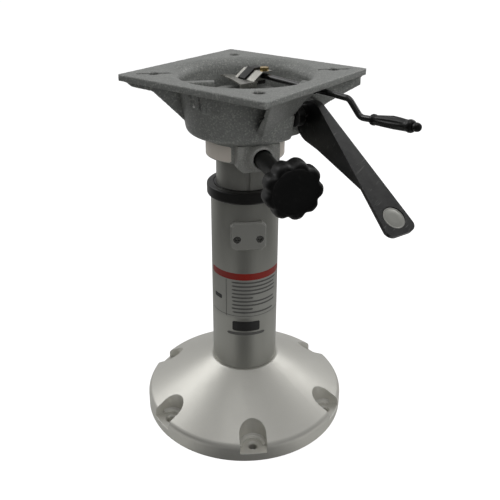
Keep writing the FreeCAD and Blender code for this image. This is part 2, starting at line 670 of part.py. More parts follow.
def build_inner_post():
    """Post with a groove for the key along its whole length."""
    body = turned("Post", box_corners(POST_BORE, POST_RADIUS, "Dims.PostBottom", "Dims.PostTop"))
    groove = outline(body, "Groove", "XY_Plane", box_corners(
        f"{POST_RADIUS}-Dims.GrooveDepth", f"{POST_RADIUS}+1", "-Dims.GrooveWidth/2", "Dims.GrooveWidth/2"))
    pocket(body, groove)
    return node(place(body, "Dims.KeyAngle"), "inner_post")


def build_post_rings():
    """Guide ring, retaining ring and thrust washer on the post."""
    seat = f"({POST_RADIUS}+Dims.FitGap)"
    guide = turned("GuideRing", box_corners(
        seat, f"{COLUMN_BORE}-Dims.SlideGap", "Dims.PostBottom", "Dims.PostBottom+Dims.GuideRingHeight"))
    node(guide, "post_guide_ring")
    low = "(Dims.NeckLandTop+Dims.RunningGap)"
    keeper = turned("KeeperRing", box_corners(
        seat, f"{POST_RADIUS}+Dims.RetainingRingWidth", low, f"{low}+Dims.RetainingRingHeight"))
    node(keeper, "retaining_ring")
    washer = turned("Washer", box_corners(
        f"{POST_BORE}+Dims.FitGap", "Dims.BearingBore/2-Dims.RunningGap",
        "Dims.PostTop", "Dims.PostTop+Dims.WasherThickness"))
    node(washer, "thrust_washer")


def build_gas_spring_cylinder():
    """Pressure tube with a bore for the rod below and for the release pin above."""
    outer = "Dims.SpringDiameter/2"
    inner = f"({outer}-Dims.SpringWall)"
    rod = "(Dims.SpringRodDiameter/2+Dims.SlideGap)"
    pin = "(Dims.PinDiameter/2+Dims.SlideGap)"
    body = turned("Spring", [
        (rod, "Dims.SpringBottom"), (outer, "Dims.SpringBottom"), (outer, "Dims.SpringTop"),
        (pin, "Dims.SpringTop"), (pin, "Dims.SpringTop-Dims.SpringEndCap"),
        (inner, "Dims.SpringTop-Dims.SpringEndCap"), (inner, "Dims.SpringBottom+Dims.SpringEndCap"),
        (rod, "Dims.SpringBottom+Dims.SpringEndCap")])
    node(body, "gas_spring_cylinder")
    disc = turned("MountDisc", box_corners(
        f"{outer}+Dims.FitGap", f"{POST_BORE}-Dims.FitGap",
        "Dims.MountDiscBottom", "Dims.MountDiscBottom+Dims.MountDiscHeight"))
    node(disc, "spring_mount_disc")


def build_release_pin():
    """Pin with a button that opens the gas spring's valve."""
    head = "(Dims.PinTop-Dims.PinHeadHeight)"
    body = turned("ReleasePin", [
        ("0", "Dims.SpringTop-Dims.SpringEndCap"), ("Dims.PinDiameter/2", "Dims.SpringTop-Dims.SpringEndCap"),
        ("Dims.PinDiameter/2", head), ("Dims.PinHead/2", head), ("Dims.PinHead/2", "Dims.PinTop"),
        ("0", "Dims.PinTop")])
    return node(body, "release_pin")


def seat_plate():
    """Square plate with rounded corners."""
    half = "Dims.PlateSide/2"
    corner = "Dims.PlateCorner"
    near = f"{half}-{corner}"
    return slab("Plate", "XY_Plane", [
        (f"-({near})", f"-{half}"), (near, f"-{half}", corner), (half, f"-({near})"), (half, near, corner),
        (near, half), (f"-({near})", half, corner), (f"-{half}", near), (f"-{half}", f"-({near})", corner)],
        "Dims.PlateThickness", symmetric=False, shift={"z": PLATE_BOTTOM})


def bowl_solids():
    """Outside of the bowl, and the space inside it round the boss."""
    low = "Dims.BowlLowDiameter/2"
    corner_height = "(Dims.BowlBottom+Dims.BowlCrown+Dims.BowlCornerRound)"
    outer = turned("BowlOuter", [
        ("0", "Dims.BowlBottom"), ("Dims.NeckDiameter/2+1", "Dims.BowlBottom"),
        (f"{low}-Dims.BowlCornerRound", "Dims.BowlBottom+Dims.BowlCrown", "Dims.BowlCornerRound"),
        (low, corner_height), ("Dims.BowlTopDiameter/2", PLATE_BOTTOM),
        ("Dims.BowlTopDiameter/2", f"{PLATE_BOTTOM}+1"), ("0", f"{PLATE_BOTTOM}+1")])
    floor = "(Dims.BowlBottom+Dims.BowlFloor)"
    floor_edge = f"({low}-Dims.BowlWall)"
    throat = "(Dims.PlateTop-Dims.MouthRound)"
    throat_radius = "(Dims.BowlTopDiameter/2-Dims.BowlWall-1)"
    boss = "Dims.BossDiameter/2"
    space = turned("BowlSpace", [
        ("0", "Dims.BossTop"), (f"{boss}-Dims.BossDraft", "Dims.BossTop"), (boss, floor),
        (f"{floor_edge}-Dims.FloorRound", floor, "Dims.FloorRound"), (floor_edge, f"{floor}+Dims.FloorRound"),
        (throat_radius, throat, "-Dims.MouthRound"), (f"{throat_radius}+Dims.MouthRound", "Dims.PlateTop"),
        (f"{throat_radius}+Dims.MouthRound", "Dims.PlateTop+1"), ("0", "Dims.PlateTop+1")])
    ribs = [place(slab("HighRib", "XZ_Plane", box_corners(
        f"{boss}-9", "Dims.BowlTopDiameter/2", floor, "Dims.HighRibTop"), "Dims.HighRibThickness"), "225")]
    for angle in ("45", "135", "315"):
        ribs.append(place(slab("LowRib", "XZ_Plane", box_corners(
            f"{boss}-4", f"{low}-1", floor, "Dims.LowRibTop"), "Dims.LowRibThickness"), angle))
    return outer, cut("BowlCavity", space, ribs)


def corner_gussets():
    """Gusset under each end of the plate's left-to-right diagonal."""
    gussets = []
    for angle in ("45", "225"):
        gussets.append(place(slab("Gusset", "XZ_Plane", [
            ("Dims.BossDiameter/2+4", f"{PLATE_BOTTOM}+1"), ("Dims.BossDiameter/2+4", "Dims.BowlBottom+15"),
            ("Dims.BowlLowDiameter/2+2", "Dims.BowlBottom+16"),
            ("Dims.GussetReach-12.5", f"{PLATE_BOTTOM}-Dims.GussetNose-2.5"),
            ("Dims.GussetReach", f"{PLATE_BOTTOM}-Dims.GussetNose"), ("Dims.GussetReach", f"{PLATE_BOTTOM}+1")],
            "Dims.GussetThickness"), angle))
    return gussets


def skirt_block(name, inset, floor, left, right="Dims.SkirtRight"):
    """Leaning block under the plate's +X edge."""
    block = doc.addObject("Part::Wedge", name)
    bounds = {
        "Ymin": f"Dims.SkirtBottom+{floor}", "Ymax": f"{PLATE_BOTTOM}+1-{floor}/5",
        "Xmin": f"30-{inset}", "Xmax": f"Dims.SkirtFoot-{inset}",
        "X2min": f"40-{inset}", "X2max": f"Dims.SkirtFace-{inset}",
        "Zmin": f"-({right})+{inset}", "Zmax": f"Dims.SkirtFootLeft+{left}",
        "Z2min": f"-({right})+{inset}", "Z2max": f"Dims.SkirtLeft+{left}"}
    for name, expression in bounds.items():
        block.setExpression(name, expression)
    block.Placement = Placement(Vector(), Rotation(Vector(1, 0, 0), 90))
    return block


def lever_box(name, left, right, front, back, low, high):
    """Upright box in the brake lever's direction."""
    return place(slab(name, "XY_Plane", box_corners(left, right, front, back), f"({high})-({low})",
                      symmetric=False, shift={"z": low}), "Dims.LeverAngle")


def lever_bar(name, radius, start, length, x="Dims.PivotReach", z="Dims.PivotHeight"):
    """Round bar across the brake lever's direction, from start towards its left."""
    body = new_body(name)
    pad(body, circles(body, name + "Round", "XZ_Plane", [(x, z, radius)], {"z": f"-({start})"}), length)
    return body


def rod_bar(name, radius, start, length):
    """Round bar on the release rod's line."""
    body = new_body(name)
    pad(body, circles(body, name + "Round", "YZ_Plane", [("Dims.RodOffset", "Dims.RodHeight", radius)],
                      {"z": start}), length)
    return place(body, "Dims.RodAngle")


def build_seat_mount_casting():
    """Plate, bowl, boss, ribs, gussets, skirt and clevis in one casting."""
    outer, cavity = bowl_solids()
    skirt = skirt_block("SkirtOuter", "0", "0", "0")
    skirt_shell = cut("Skirt", skirt, [skirt_block("SkirtInner", "Dims.SkirtWall", "Dims.SkirtWall", "40")])
    window_rib = place(slab("WindowRib", "XZ_Plane", box_corners(
        "Dims.BowlLowDiameter/2", "Dims.BowlTopDiameter/2+1", "Dims.WindowBottom-2", PLATE_BOTTOM), "4.4"), "-86.5")
    rough = joined("CastingRough", [seat_plate(), outer, skirt_shell, window_rib] + corner_gussets())
    hollow = cut("CastingHollow", rough, [cavity])
    cheek = common("Cheek", lever_box(
        "CheekBox", "Dims.PivotReach-8", "Dims.PivotReach+30", "Dims.SlotLeft-Dims.CheekThickness",
        "Dims.SlotLeft", "Dims.BowlBottom+4", PLATE_BOTTOM),
        skirt_block("CheekBlock", "0", "0", "0", "Dims.CheekRight"))
    slot = lever_box("LeverSlot", "Dims.BossDiameter/2+6", "Dims.PlateSide", "Dims.SlotLeft", "Dims.SlotRight",
                     "Dims.BowlBottom-5", "Dims.SlotTop")
    slotted = cut("CastingSlotted", joined("CastingCheeked", [hollow, cheek]), [slot])
    lug_radius = "Dims.LugDiameter/2"
    lug = place(slab("Lug", "XZ_Plane", [
        ("Dims.PivotReach-13", f"Dims.PivotHeight-{lug_radius}"),
        ("Dims.PivotReach", f"Dims.PivotHeight-{lug_radius}", lug_radius),
        (f"Dims.PivotReach+{lug_radius}", "Dims.PivotHeight", lug_radius),
        ("Dims.PivotReach", f"Dims.PivotHeight+{lug_radius}"),
        ("Dims.PivotReach-13", f"Dims.PivotHeight+{lug_radius}")],
        "Dims.LugThickness", shift={"z": "-(Dims.SlotRight+Dims.LugThickness/2)"}), "Dims.LeverAngle")
    bush_boss = rod_bar("BushBoss", "Dims.BushDiameter/2+Dims.BushWall", "Dims.BushStart",
                        "Dims.BushEnd-Dims.BushStart")
    full = joined("CastingFull", [joined("CastingLugged", [slotted, lug]), bush_boss])
    bore = turned("BearingBore", [
        ("0", "Dims.BowlBottom-1"), ("Dims.BearingBore/2", "Dims.BowlBottom-1"),
        ("Dims.BearingBore/2", "Dims.PostTop+Dims.WasherThickness+Dims.RunningGap"),
        ("Dims.LipBore/2", "Dims.PostTop+Dims.WasherThickness+Dims.RunningGap"),
        ("Dims.LipBore/2", "Dims.BossTop+1"), ("0", "Dims.BossTop+1")])
    tools = [bore]
    for east in ("-", ""):
        for north in ("-", ""):
            hole = turned("SeatBoltHole", [
                ("0", "Dims.BowlBottom"), ("Dims.PlateHole/2", "Dims.BowlBottom"),
                ("Dims.PlateHole/2", "Dims.PlateTop-Dims.PlateHoleBevel"),
                ("Dims.PlateHole/2+Dims.PlateHoleBevel", "Dims.PlateTop"),
                ("Dims.PlateHole/2+Dims.PlateHoleBevel", "Dims.PlateTop+1"), ("0", "Dims.PlateTop+1")])
            tools.append(place(hole, x=f"{east}Dims.PlateHoleSpacing/2", y=f"{north}Dims.PlateHoleSpacing/2"))
    for angle in ("45", "225"):
        tools.append(place(slab("TopGroove", "XZ_Plane", box_corners(
            "Dims.TopGrooveStart", "Dims.TopGrooveEnd", "Dims.PlateTop-Dims.TopGrooveDepth", "Dims.PlateTop+1"),
            "Dims.TopGrooveWidth"), angle))
    window_top = "(Dims.WindowBottom+Dims.WindowHeight)"
    for angle in ("-101.8", "-91"):
        tools.append(place(slab("Window", "XZ_Plane", box_corners(
            "Dims.BowlLowDiameter/2-Dims.BowlWall-4", "Dims.BowlTopDiameter/2+5", "Dims.WindowBottom", window_top),
            "Dims.WindowWidth"), angle))
    tools.append(place(slab("SunkPanel", "XZ_Plane", [
        ("Dims.BowlTopDiameter/2-Dims.PanelDepth-3", "Dims.WindowBottom"),
        ("Dims.BowlTopDiameter/2+5", "Dims.WindowBottom"), ("Dims.BowlTopDiameter/2+5", window_top),
        ("Dims.BowlTopDiameter/2-Dims.PanelDepth-1", window_top)], "Dims.PanelWidth"), "-78.6"))
    tools.append(rod_bar("BushHole", "Dims.BushDiameter/2+Dims.FitGap", "Dims.BushStart-1",
                         "Dims.BushEnd-Dims.BushStart+2"))
    tools.append(place(lever_bar("PivotHole", "Dims.PivotDiameter/2+Dims.FitGap",
                                 "Dims.SlotRight+Dims.LugThickness+1",
                                 f"{PIN_LENGTH}+2"), "Dims.LeverAngle"))
    plunger = new_body("PlungerHole")
    pad(plunger, circles(plunger, "PlungerRound", "YZ_Plane", [
        ("Dims.PlungerOffset", "Dims.PivotHeight-Dims.CamThrow", "Dims.PlungerDiameter/2+Dims.SlideGap")],
        {"z": "Dims.BearingBore/4"}), "Dims.BossDiameter/2+6-Dims.BearingBore/4")
    tools.append(place(plunger, "Dims.LeverAngle"))
    tools += neck_screw_shanks("CastingScrew", "Dims.NeckScrew/2+Dims.FitGap")
    return node(cut("SeatMount", full, tools), "seat_mount_casting")


def neck_screw_shanks(name, radius):
    """Four round shanks from the neck's screw seats up into the bowl."""
    shanks = []
    seat = "(Dims.NeckBottom+Dims.NeckScrewHeadHeight)"
    for step in range(4):
        angle = f"(Dims.KnobAngle+45+{90 * step})"
        shanks.append(cylinder(
            f"{name}{step}", radius, f"Dims.BowlBottom+Dims.NeckScrewGrip-{seat}",
            x=f"Dims.NeckScrewCircle/2*cos({angle})", y=f"Dims.NeckScrewCircle/2*sin({angle})", z=seat))
    return shanks


def neck_screw_heads(name, radius, low, height):
    """Four round heads at the neck's lower end."""
    heads = []
    for step in range(4):
        angle = f"(Dims.KnobAngle+45+{90 * step})"
        heads.append(cylinder(
            f"{name}{step}", radius, height,
            x=f"Dims.NeckScrewCircle/2*cos({angle})", y=f"Dims.NeckScrewCircle/2*sin({angle})", z=low))
    return heads


def build_swivel_neck():
    """Neck with the clamp boss for the tension knob."""
    body = turned("Neck", box_corners("Dims.NeckLand/2", "Dims.NeckDiameter/2", "Dims.NeckBottom", "Dims.BowlBottom"))
    half = "Dims.ClampWidth/2"
    corner = "Dims.ClampCorner"
    pad(body, outline(body, "ClampOutline", "YZ_Plane", [
        (f"-{half}+{corner}", "Dims.ClampBottom"), (f"{half}-{corner}", "Dims.ClampBottom"),
        (half, f"Dims.ClampBottom+{corner}"), (half, "Dims.BowlBottom-0.6"),
        (f"-{half}", "Dims.BowlBottom-0.6"), (f"-{half}", f"Dims.ClampBottom+{corner}")],
        {"z": "Dims.NeckLand/2"}), "Dims.ClampFace-Dims.NeckLand/2")
    bearing = "Dims.BearingBore/2"
    bore = outline(body, "NeckBore", "XZ_Plane", [
        ("0", "Dims.ClampBottom-1"), (bearing, "Dims.ClampBottom-1"), (bearing, "Dims.NeckLandBottom"),
        ("Dims.NeckLand/2", "Dims.NeckLandBottom"), ("Dims.NeckLand/2", "Dims.NeckLandTop"),
        (bearing, "Dims.NeckLandTop"), (bearing, "Dims.BowlBottom+1"), ("0", "Dims.BowlBottom+1")])
    turn(body, bore, "PartDesign::Groove")
    pad_hole = "(Dims.PadDiameter/2+Dims.SlideGap)"
    stud_hole = "(Dims.StudDiameter/2+Dims.SlideGap)"
    recess = "(Dims.ClampFace-Dims.CounterboreDepth)"
    across = outline(body, "StudHole", "XZ_Plane", [
        ("20", "0"), ("20", pad_hole), ("Dims.StudEnd+1.5", pad_hole), ("Dims.StudEnd+1.5", stud_hole),
        (recess, stud_hole), (recess, "Dims.CounterboreDiameter/2-1"),
        (f"{recess}+1", "Dims.CounterboreDiameter/2"), ("Dims.ClampFace+3", "Dims.CounterboreDiameter/2"),
        ("Dims.ClampFace+3", "0")], {"y": "Dims.KnobHeight"})
    turn(body, across, "PartDesign::Groove", "H_Axis")
    place(body, "Dims.KnobAngle")
    tools = neck_screw_shanks("NeckShank", "Dims.NeckScrew/2+Dims.FitGap")
    tools += neck_screw_heads("NeckHead", "Dims.NeckScrewHead/2+Dims.FitGap", "Dims.NeckBottom-1",
                              "Dims.NeckScrewHeadHeight+1")
    return node(cut("NeckDrilled", body, tools), "swivel_neck")


def build_neck_screws():
    """Four screws that hold the neck under the bowl."""
    shanks = neck_screw_shanks("ScrewShank", "Dims.NeckScrew/2")
    heads = neck_screw_heads("ScrewHead", "Dims.NeckScrewHead/2", "Dims.NeckBottom", "Dims.NeckScrewHeadHeight")
    screws = [joined(f"NeckScrew{index}", [head, shank]) for index, (head, shank) in enumerate(zip(heads, shanks))]
    return node(group("NeckScrews", screws), "neck_screws")


def build_swivel_bushings():
    """Upper bushing in the bowl's boss and lower bushing in the neck."""
    inner = f"({POST_RADIUS}+Dims.SlideGap)"
    outer = "(Dims.BearingBore/2-Dims.FitGap)"
    upper = turned("UpperBushing", box_corners(
        inner, outer, "Dims.UpperBushingBottom", "Dims.UpperBushingTop"))
    node(upper, "upper_bushing")
    lower = turned("LowerBushing", box_corners(
        inner, outer, "Dims.NeckBottom+Dims.RunningGap", "Dims.NeckLandBottom"))
    node(lower, "lower_bushing")


def build_tension_knob():
    """Lobed knob with a long neck."""
    back = "(Dims.KnobFace-Dims.KnobDepth)"
    stem = "Dims.StemDiameter/2"
    rim = "Dims.KnobDiameter/2"
    face = "Dims.KnobFaceDiameter/2"
    start = "(Dims.ClampFace+Dims.StemGap)"
    bore = "(Dims.StudDiameter/2+Dims.FitGap)"
    body = turned("Knob", [
        (f"{start}+Dims.StudGrip", "0"), (f"{start}+Dims.StudGrip", bore), (start, bore), (start, stem),
        (f"{back}-8", stem), (f"{back}+1", f"{stem}+5"), (f"{back}+3", f"{rim}-4"), (f"{back}+6", rim),
        ("Dims.KnobFace-7", rim), ("Dims.KnobFace", face), ("Dims.KnobFace", f"{face}-1.5"),
        ("Dims.KnobFace-Dims.KnobDish", f"{face}-3"), ("Dims.KnobFace-Dims.KnobDish", "0")],
        "H_Axis", {"y": "Dims.KnobHeight"})
    middle = f"({rim}+Dims.KnobScallop-Dims.KnobScallopDepth)"
    for step in range(int(value("Dims.KnobLobes"))):
        angle = f"({step}+0.6)*360/Dims.KnobLobes"
        hollow = circles(body, f"KnobHollow{step}", "YZ_Plane", [
            (f"{middle}*cos({angle})", f"Dims.KnobHeight+{middle}*sin({angle})", "Dims.KnobScallop")],
            {"z": f"{back}-1"})
        pocket(body, hollow, "Dims.KnobDepth+2", reverse=True)
    return node(place(body, "Dims.KnobAngle"), "tension_knob")


def build_knob_stud_and_pad():
    """Stud that the knob turns, and the friction pad that it pushes at the post."""
    stud = turned("KnobStud", box_corners(
        "Dims.StudEnd", "Dims.ClampFace+Dims.StemGap+Dims.StudGrip", "0", "Dims.StudDiameter/2"),
        "H_Axis", {"y": "Dims.KnobHeight"})
    node(place(stud, "Dims.KnobAngle"), "knob_stud")
    friction = turned("FrictionPad", box_corners(
        "Dims.PadTip", "Dims.StudEnd-Dims.RunningGap", "0", "Dims.PadDiameter/2"),
        "H_Axis", {"y": "Dims.KnobHeight"})
    node(place(friction, "Dims.KnobAngle"), "friction_pad")


def build_paddle_lever():
    """Brake lever: a round head, a barrel with a cam, and an arm with a web under a widening flange."""
    body = new_body("Lever")
    top = "Dims.LeverHub/2"
    under = f"({top}-Dims.FlangeThickness)"
    along = {"x": "Dims.HubReach", "y": "Dims.HubHeight"}
    pivot = {"x": "Dims.PivotReach", "y": "Dims.PivotHeight"}
    reach = f"sqrt(Dims.WebLength^2+{under}^2)"
    meet = f"(atan({under}/Dims.WebLength)+asin({top}/{reach}))"
    width = "Dims.TipWidth"
    root_x = f"(Dims.HubReach+{top}*sin(Dims.LeverSlope))"
    tip_x = f"(Dims.HubReach+{top}*sin(Dims.LeverSlope)+Dims.LeverLength*cos(Dims.LeverSlope))"
    left_root = "(Dims.LeverOffset-Dims.LeverHubWidth/2)"
    left_tip = f"(Dims.LeverOffset-{width}/2)"
    right_root = "(Dims.LeverOffset+Dims.LeverHubWidth/2)"
    right_tip = f"(Dims.LeverOffset+{width}/2)"
    beyond = f"({tip_x}+15)"
    inside = "(Dims.HubReach-40)"
    far_left = f"({left_tip}-10)"
    far_right = f"({right_tip}+10)"

    # Web, trimmed in plan to a strip along the left edge
    shift = dict(along, z=f"-({right_tip})")
    pad(body, outline(body, "WebOutline", "XZ_Plane", [
        ("0", "0"), (f"{top}*sin({meet})", f"-{top}*cos({meet})"), ("Dims.WebLength", under),
        ("Dims.WebLength", top), ("0", top)], shift, "-Dims.LeverSlope"), width)
    pocket(body, outline(body, "WebTrim", "XY_Plane", [
        (inside, f"{left_root}+Dims.WebThickness"), (root_x, f"{left_root}+Dims.WebThickness"),
        (tip_x, f"{left_tip}+Dims.WebThickness"), (beyond, far_right), (inside, far_right)]))

    # Flange, trimmed in plan to its widening outline
    pad(body, outline(body, "FlangeOutline", "XZ_Plane", box_corners(
        "0", "Dims.LeverLength", under, top), shift, "-Dims.LeverSlope"), width)
    pocket(body, outline(body, "LeftTrim", "XY_Plane", [
        (inside, left_root), (inside, far_left), (beyond, far_left), (beyond, left_tip), (tip_x, left_tip),
        (root_x, left_root)]))
    pocket(body, outline(body, "RightTrim", "XY_Plane", [
        (inside, right_root), (root_x, right_root), (tip_x, right_tip), (beyond, right_tip),
        (beyond, far_right), (inside, far_right)]))
    doc.recompute()
    arm = body.Tip
    tip_edges = [
        f"Edge{number}" for number, edge in enumerate(arm.Shape.Edges, start=1)
        if min(point.X for point in edge.Vertexes) > value(tip_x) - value(top) * 0.75
        and edge.Length < 1.5 * value("Dims.FlangeThickness")]
    fillet = body.newObject("PartDesign::Fillet", "TipFillet")
    fillet.Base = (arm, tip_edges)
    fillet.setExpression("Radius", "Dims.TipRound")

    # Round head, barrel, cam and bore
    pad(body, circles(body, "HeadRound", "XZ_Plane", [("0", "0", top)], dict(along, z=f"-({right_root})")),
        "Dims.LeverHubWidth")
    left_end = "(Dims.SlotLeft+Dims.RunningGap)"
    pad(body, circles(body, "BarrelRound", "XZ_Plane", [("0", "0", "Dims.BarrelDiameter/2")],
                      dict(pivot, z=f"-({right_root})")), f"{right_root}-{left_end}")
    pad(body, circles(body, "CamRound", "XZ_Plane", [("0", "-Dims.CamThrow", "Dims.CamDiameter/2")],
                      dict(pivot, z=f"-({left_end}+Dims.CamWidth)")), "Dims.CamWidth")
    pocket(body, circles(body, "LeverBore", "XZ_Plane", [("0", "0", "Dims.PivotDiameter/2+Dims.SlideGap")], pivot))

    recess = lever_disc("DiscRecess", "Dims.DiscDiameter/2+Dims.FitGap", "Dims.DiscDepth", "2")
    return node(place(cut("LeverFinished", body, [recess]), "Dims.LeverAngle"), "paddle_lever")


def lever_disc(name, radius, sink, height):
    """Disc square to the lever's top face, sunk into it."""
    disc = doc.addObject("Part::Cylinder", name)
    disc.setExpression("Radius", radius)
    disc.setExpression("Height", height)
    face = f"(Dims.LeverHub/2-{sink})"
    return place(
        disc, "Dims.LeverSlope", Vector(0, 1, 0),
        x=f"Dims.HubReach+Dims.DiscReach*cos(Dims.LeverSlope)+{face}*sin(Dims.LeverSlope)",
        y="Dims.LeverOffset",
        z=f"Dims.HubHeight-Dims.DiscReach*sin(Dims.LeverSlope)+{face}*cos(Dims.LeverSlope)")


def build_lever_fittings():
    """Disc in the lever's tip, pivot pin and brake plunger."""
    disc = group("PaddleDisc", [lever_disc("DiscBlank", "Dims.DiscDiameter/2", "Dims.DiscDepth", "Dims.DiscThickness")])
    node(place(disc, "Dims.LeverAngle"), "paddle_disc")
    pin = lever_bar("PivotPin", "Dims.PivotDiameter/2", "Dims.SlotRight+Dims.LugThickness", PIN_LENGTH)
    node(place(pin, "Dims.LeverAngle"), "lever_pivot_pin")
    cam_face = "(Dims.PivotReach-Dims.CamDiameter/2-Dims.RunningGap)"
    start = f"({POST_RADIUS}/2)"
    blank = turned("Plunger", [
        (start, "0"), (cam_face, "0"), (cam_face, "Dims.PlungerHead/2"),
        (f"{cam_face}-Dims.PlungerHeadLength", "Dims.PlungerHead/2"),
        (f"{cam_face}-Dims.PlungerHeadLength", "Dims.PlungerDiameter/2"), (start, "Dims.PlungerDiameter/2")],
        "H_Axis", {"y": "Dims.PivotHeight-Dims.CamThrow", "z": "-Dims.PlungerOffset"})
    scoop = cylinder("PlungerScoop", f"{POST_RADIUS}+Dims.RunningGap", "Dims.PlateTop")
    node(place(cut("PlungerScooped", blank, [scoop]), "Dims.LeverAngle"), "brake_plunger")


def rod_path():
    """Corner points of the release rod in its own upright plane."""
    low = value("Dims.RodHeight") - value("Dims.RodDrop")
    end = value("Dims.GripStart") + value("Dims.GripLength") + value("Dims.GripNubLength")
    slope = Rotation(Vector(0, -1, 0), value("Dims.RodRise")).multVec(Vector(1, 0, 0))
    last = value("Dims.RodBendEnd")
    return [
        Vector(value("Dims.RodInnerEnd"), value("Dims.RodOffset"), value("Dims.RodHeight")),
        Vector(value("Dims.RodBendStart"), value("Dims.RodOffset"), value("Dims.RodHeight")),
        Vector(last, value("Dims.RodOffset"), low),
        Vector(last, value("Dims.RodOffset"), low) + slope * ((end - last) / slope.x)]


def build_release_rod():
    """Round rod with two bends, swept along straight runs and tangent arcs."""
    points = rod_path()
    radius = value("Dims.RodBendRadius")
    edges = []
    start = points[0]
    for before, corner, after in zip(points, points[1:], points[2:]):
        inward = (before - corner).normalize()
        outward = (after - corner).normalize()
        half_angle = inward.getAngle(outward) / 2
        setback = radius / math.tan(half_angle)
        middle = (inward + outward).normalize()
        nearest = corner + middle * (radius / math.sin(half_angle) - radius)
        edges.append(Part.LineSegment(start, corner + inward * setback).toShape())
        edges.append(Part.Arc(corner + inward * setback, nearest, corner + outward * setback).toShape())
        start = corner + outward * setback
    edges.append(Part.LineSegment(start, points[-1]).toShape())
    spine = Part.Wire(edges)
    section = Part.Wire([Part.Circle(points[0], Vector(1, 0, 0), value("Dims.RodDiameter/2")).toShape()])
    rod = doc.addObject("Part::Feature", "ReleaseRod")
    rod.Shape = spine.makePipeShell([section], True, True)
    return node(place(rod, "Dims.RodAngle"), "release_rod")


def build_release_grip():
    """Grip on the rod's outer end, a little fuller towards its tip."""
    start = rod_path()[2]
    rise = "Dims.RodRise"
    begin = "(Dims.GripStart-Dims.RodBendEnd)/cos(Dims.RodRise)"
    end = f"({begin}+Dims.GripLength)"
    bore = "(Dims.RodDiameter/2+Dims.FitGap)"
    full = "Dims.GripDiameter/2"
    body = turned("Grip", [
        (begin, bore), (begin, f"{full}-1.6"), (f"{begin}+2", f"{full}-0.6"), (f"{begin}+9", f"{full}-0.3"),
        (f"{end}-12", f"{full}-0.2"), (f"{end}-7", f"{full}+0.6"), (f"{end}-2", f"{full}+0.2"),
        (end, f"{full}-1.6"), (end, bore)],
        "H_Axis", {"x": "Dims.RodBendEnd", "y": "Dims.RodHeight-Dims.RodDrop", "z": "-Dims.RodOffset"}, rise)
    return node(place(body, "Dims.RodAngle"), "release_grip")


def build_rod_wall_bush():
    """Bush in the bowl's wall."""
    body = new_body("WallBush")
    length = "Dims.BushEnd-Dims.BushStart"
    pad(body, circles(body, "BushRound", "YZ_Plane", [("Dims.RodOffset", "Dims.RodHeight", "Dims.BushDiameter/2")],
                      {"z": "Dims.BushStart"}), length)
    pocket(body, circles(body, "BushBore", "YZ_Plane", [
        ("Dims.RodOffset", "Dims.RodHeight", "Dims.RodDiameter/2+Dims.SlideGap")]))
    return node(place(body, "Dims.RodAngle"), "rod_wall_bush")


def build_rod_bearing_block():
    """Moulded block on the boss that carries the rod's inner end."""
    body = new_body("BearingBlock")
    top = "(Dims.BossTop+Dims.BlockHeight)"
    pad(body, outline(body, "BlockOutline", "YZ_Plane", [
        ("Dims.BlockFront", "Dims.BossTop"), ("Dims.BlockBack", "Dims.BossTop"), ("Dims.BlockBack", f"{top}-6"),
        ("Dims.BlockBack-5", top), ("Dims.BlockFront+13", top), ("Dims.BlockFront", f"{top}-9")],
        {"z": "Dims.BlockLeft"}), "Dims.BlockRight-Dims.BlockLeft")
    pocket(body, circles(body, "BlockBore", "YZ_Plane", [
        ("Dims.RodOffset", "Dims.RodHeight", "Dims.RodDiameter/2+Dims.SlideGap")]))
    return node(place(body, "Dims.RodAngle"), "rod_bearing_block")


def sheet_strip(body, name, left, width, points):
    """Strip of folded sheet: an even thickness above a line of points across the rod."""
    upper = [(across, f"{up}+Dims.SheetThickness") for across, up in reversed(points)]
    pad(body, outline(body, name, "YZ_Plane", points + upper, {"z": left}), width)


def build_release_plate():
    """Folded sheet that the rod tips: a wing in front, two arms beside the block and a tab over the pin."""
    body = new_body("ReleasePlate")
    wing = "Dims.WingHeight"
    gap = "Dims.RunningGap*2"
    left_cheek = f"(Dims.BlockLeft-{gap}-Dims.SheetThickness)"
    right_cheek = f"(Dims.BlockRight+{gap})"
    right_end = f"({right_cheek}+Dims.SheetThickness+Dims.ArmWidth)"
    front = "(Dims.BlockFront-1.5)"
    pad(body, outline(body, "WingOutline", "XY_Plane", [
        ("Dims.WingTip", "9.5"), ("Dims.BlockLeft", "5"), (right_end, "-3"), (right_end, "19"),
        (right_cheek, "21"), (right_cheek, front), (f"{left_cheek}+Dims.SheetThickness", front),
        (f"{left_cheek}+Dims.SheetThickness", "21"), ("Dims.WingTip+7", "20")],
        {"z": wing}), "Dims.SheetThickness")
    high = f"({wing}+Dims.ArmRise)"
    ramp = [("15", wing), ("27", high), ("Dims.ArmBack", high)]
    sheet_strip(body, "LeftArm", f"{left_cheek}+Dims.SheetThickness-Dims.NarrowArmWidth",
                "Dims.NarrowArmWidth", ramp)
    sheet_strip(body, "RightArm", right_cheek, "Dims.ArmWidth", ramp)
    for name, start in (("LeftCheek", left_cheek), ("RightCheek", right_cheek)):
        pad(body, outline(body, name, "YZ_Plane", [
            ("15", wing), ("Dims.RodOffset-5", "Dims.RodHeight-Dims.RodDiameter"),
            ("Dims.ArmBack", "Dims.RodHeight-Dims.RodDiameter"), ("Dims.ArmBack", f"{high}+0.5"),
            ("27", f"{high}+0.5"), ("15", f"{wing}+0.5")], {"z": start}), "Dims.SheetThickness")
    pad(body, outline(body, "PressTab", "YZ_Plane", box_corners(
        "-3", "18", f"{wing}-Dims.PressTab", f"{wing}+0.5"),
        {"z": f"{right_end}-Dims.SheetThickness"}), "Dims.SheetThickness")
    pocket(body, circles(body, "PlateBore", "YZ_Plane", [
        ("Dims.RodOffset", "Dims.RodHeight", "Dims.RodDiameter/2+Dims.FitGap")]))
    return node(place(body, "Dims.RodAngle"), "release_plate")


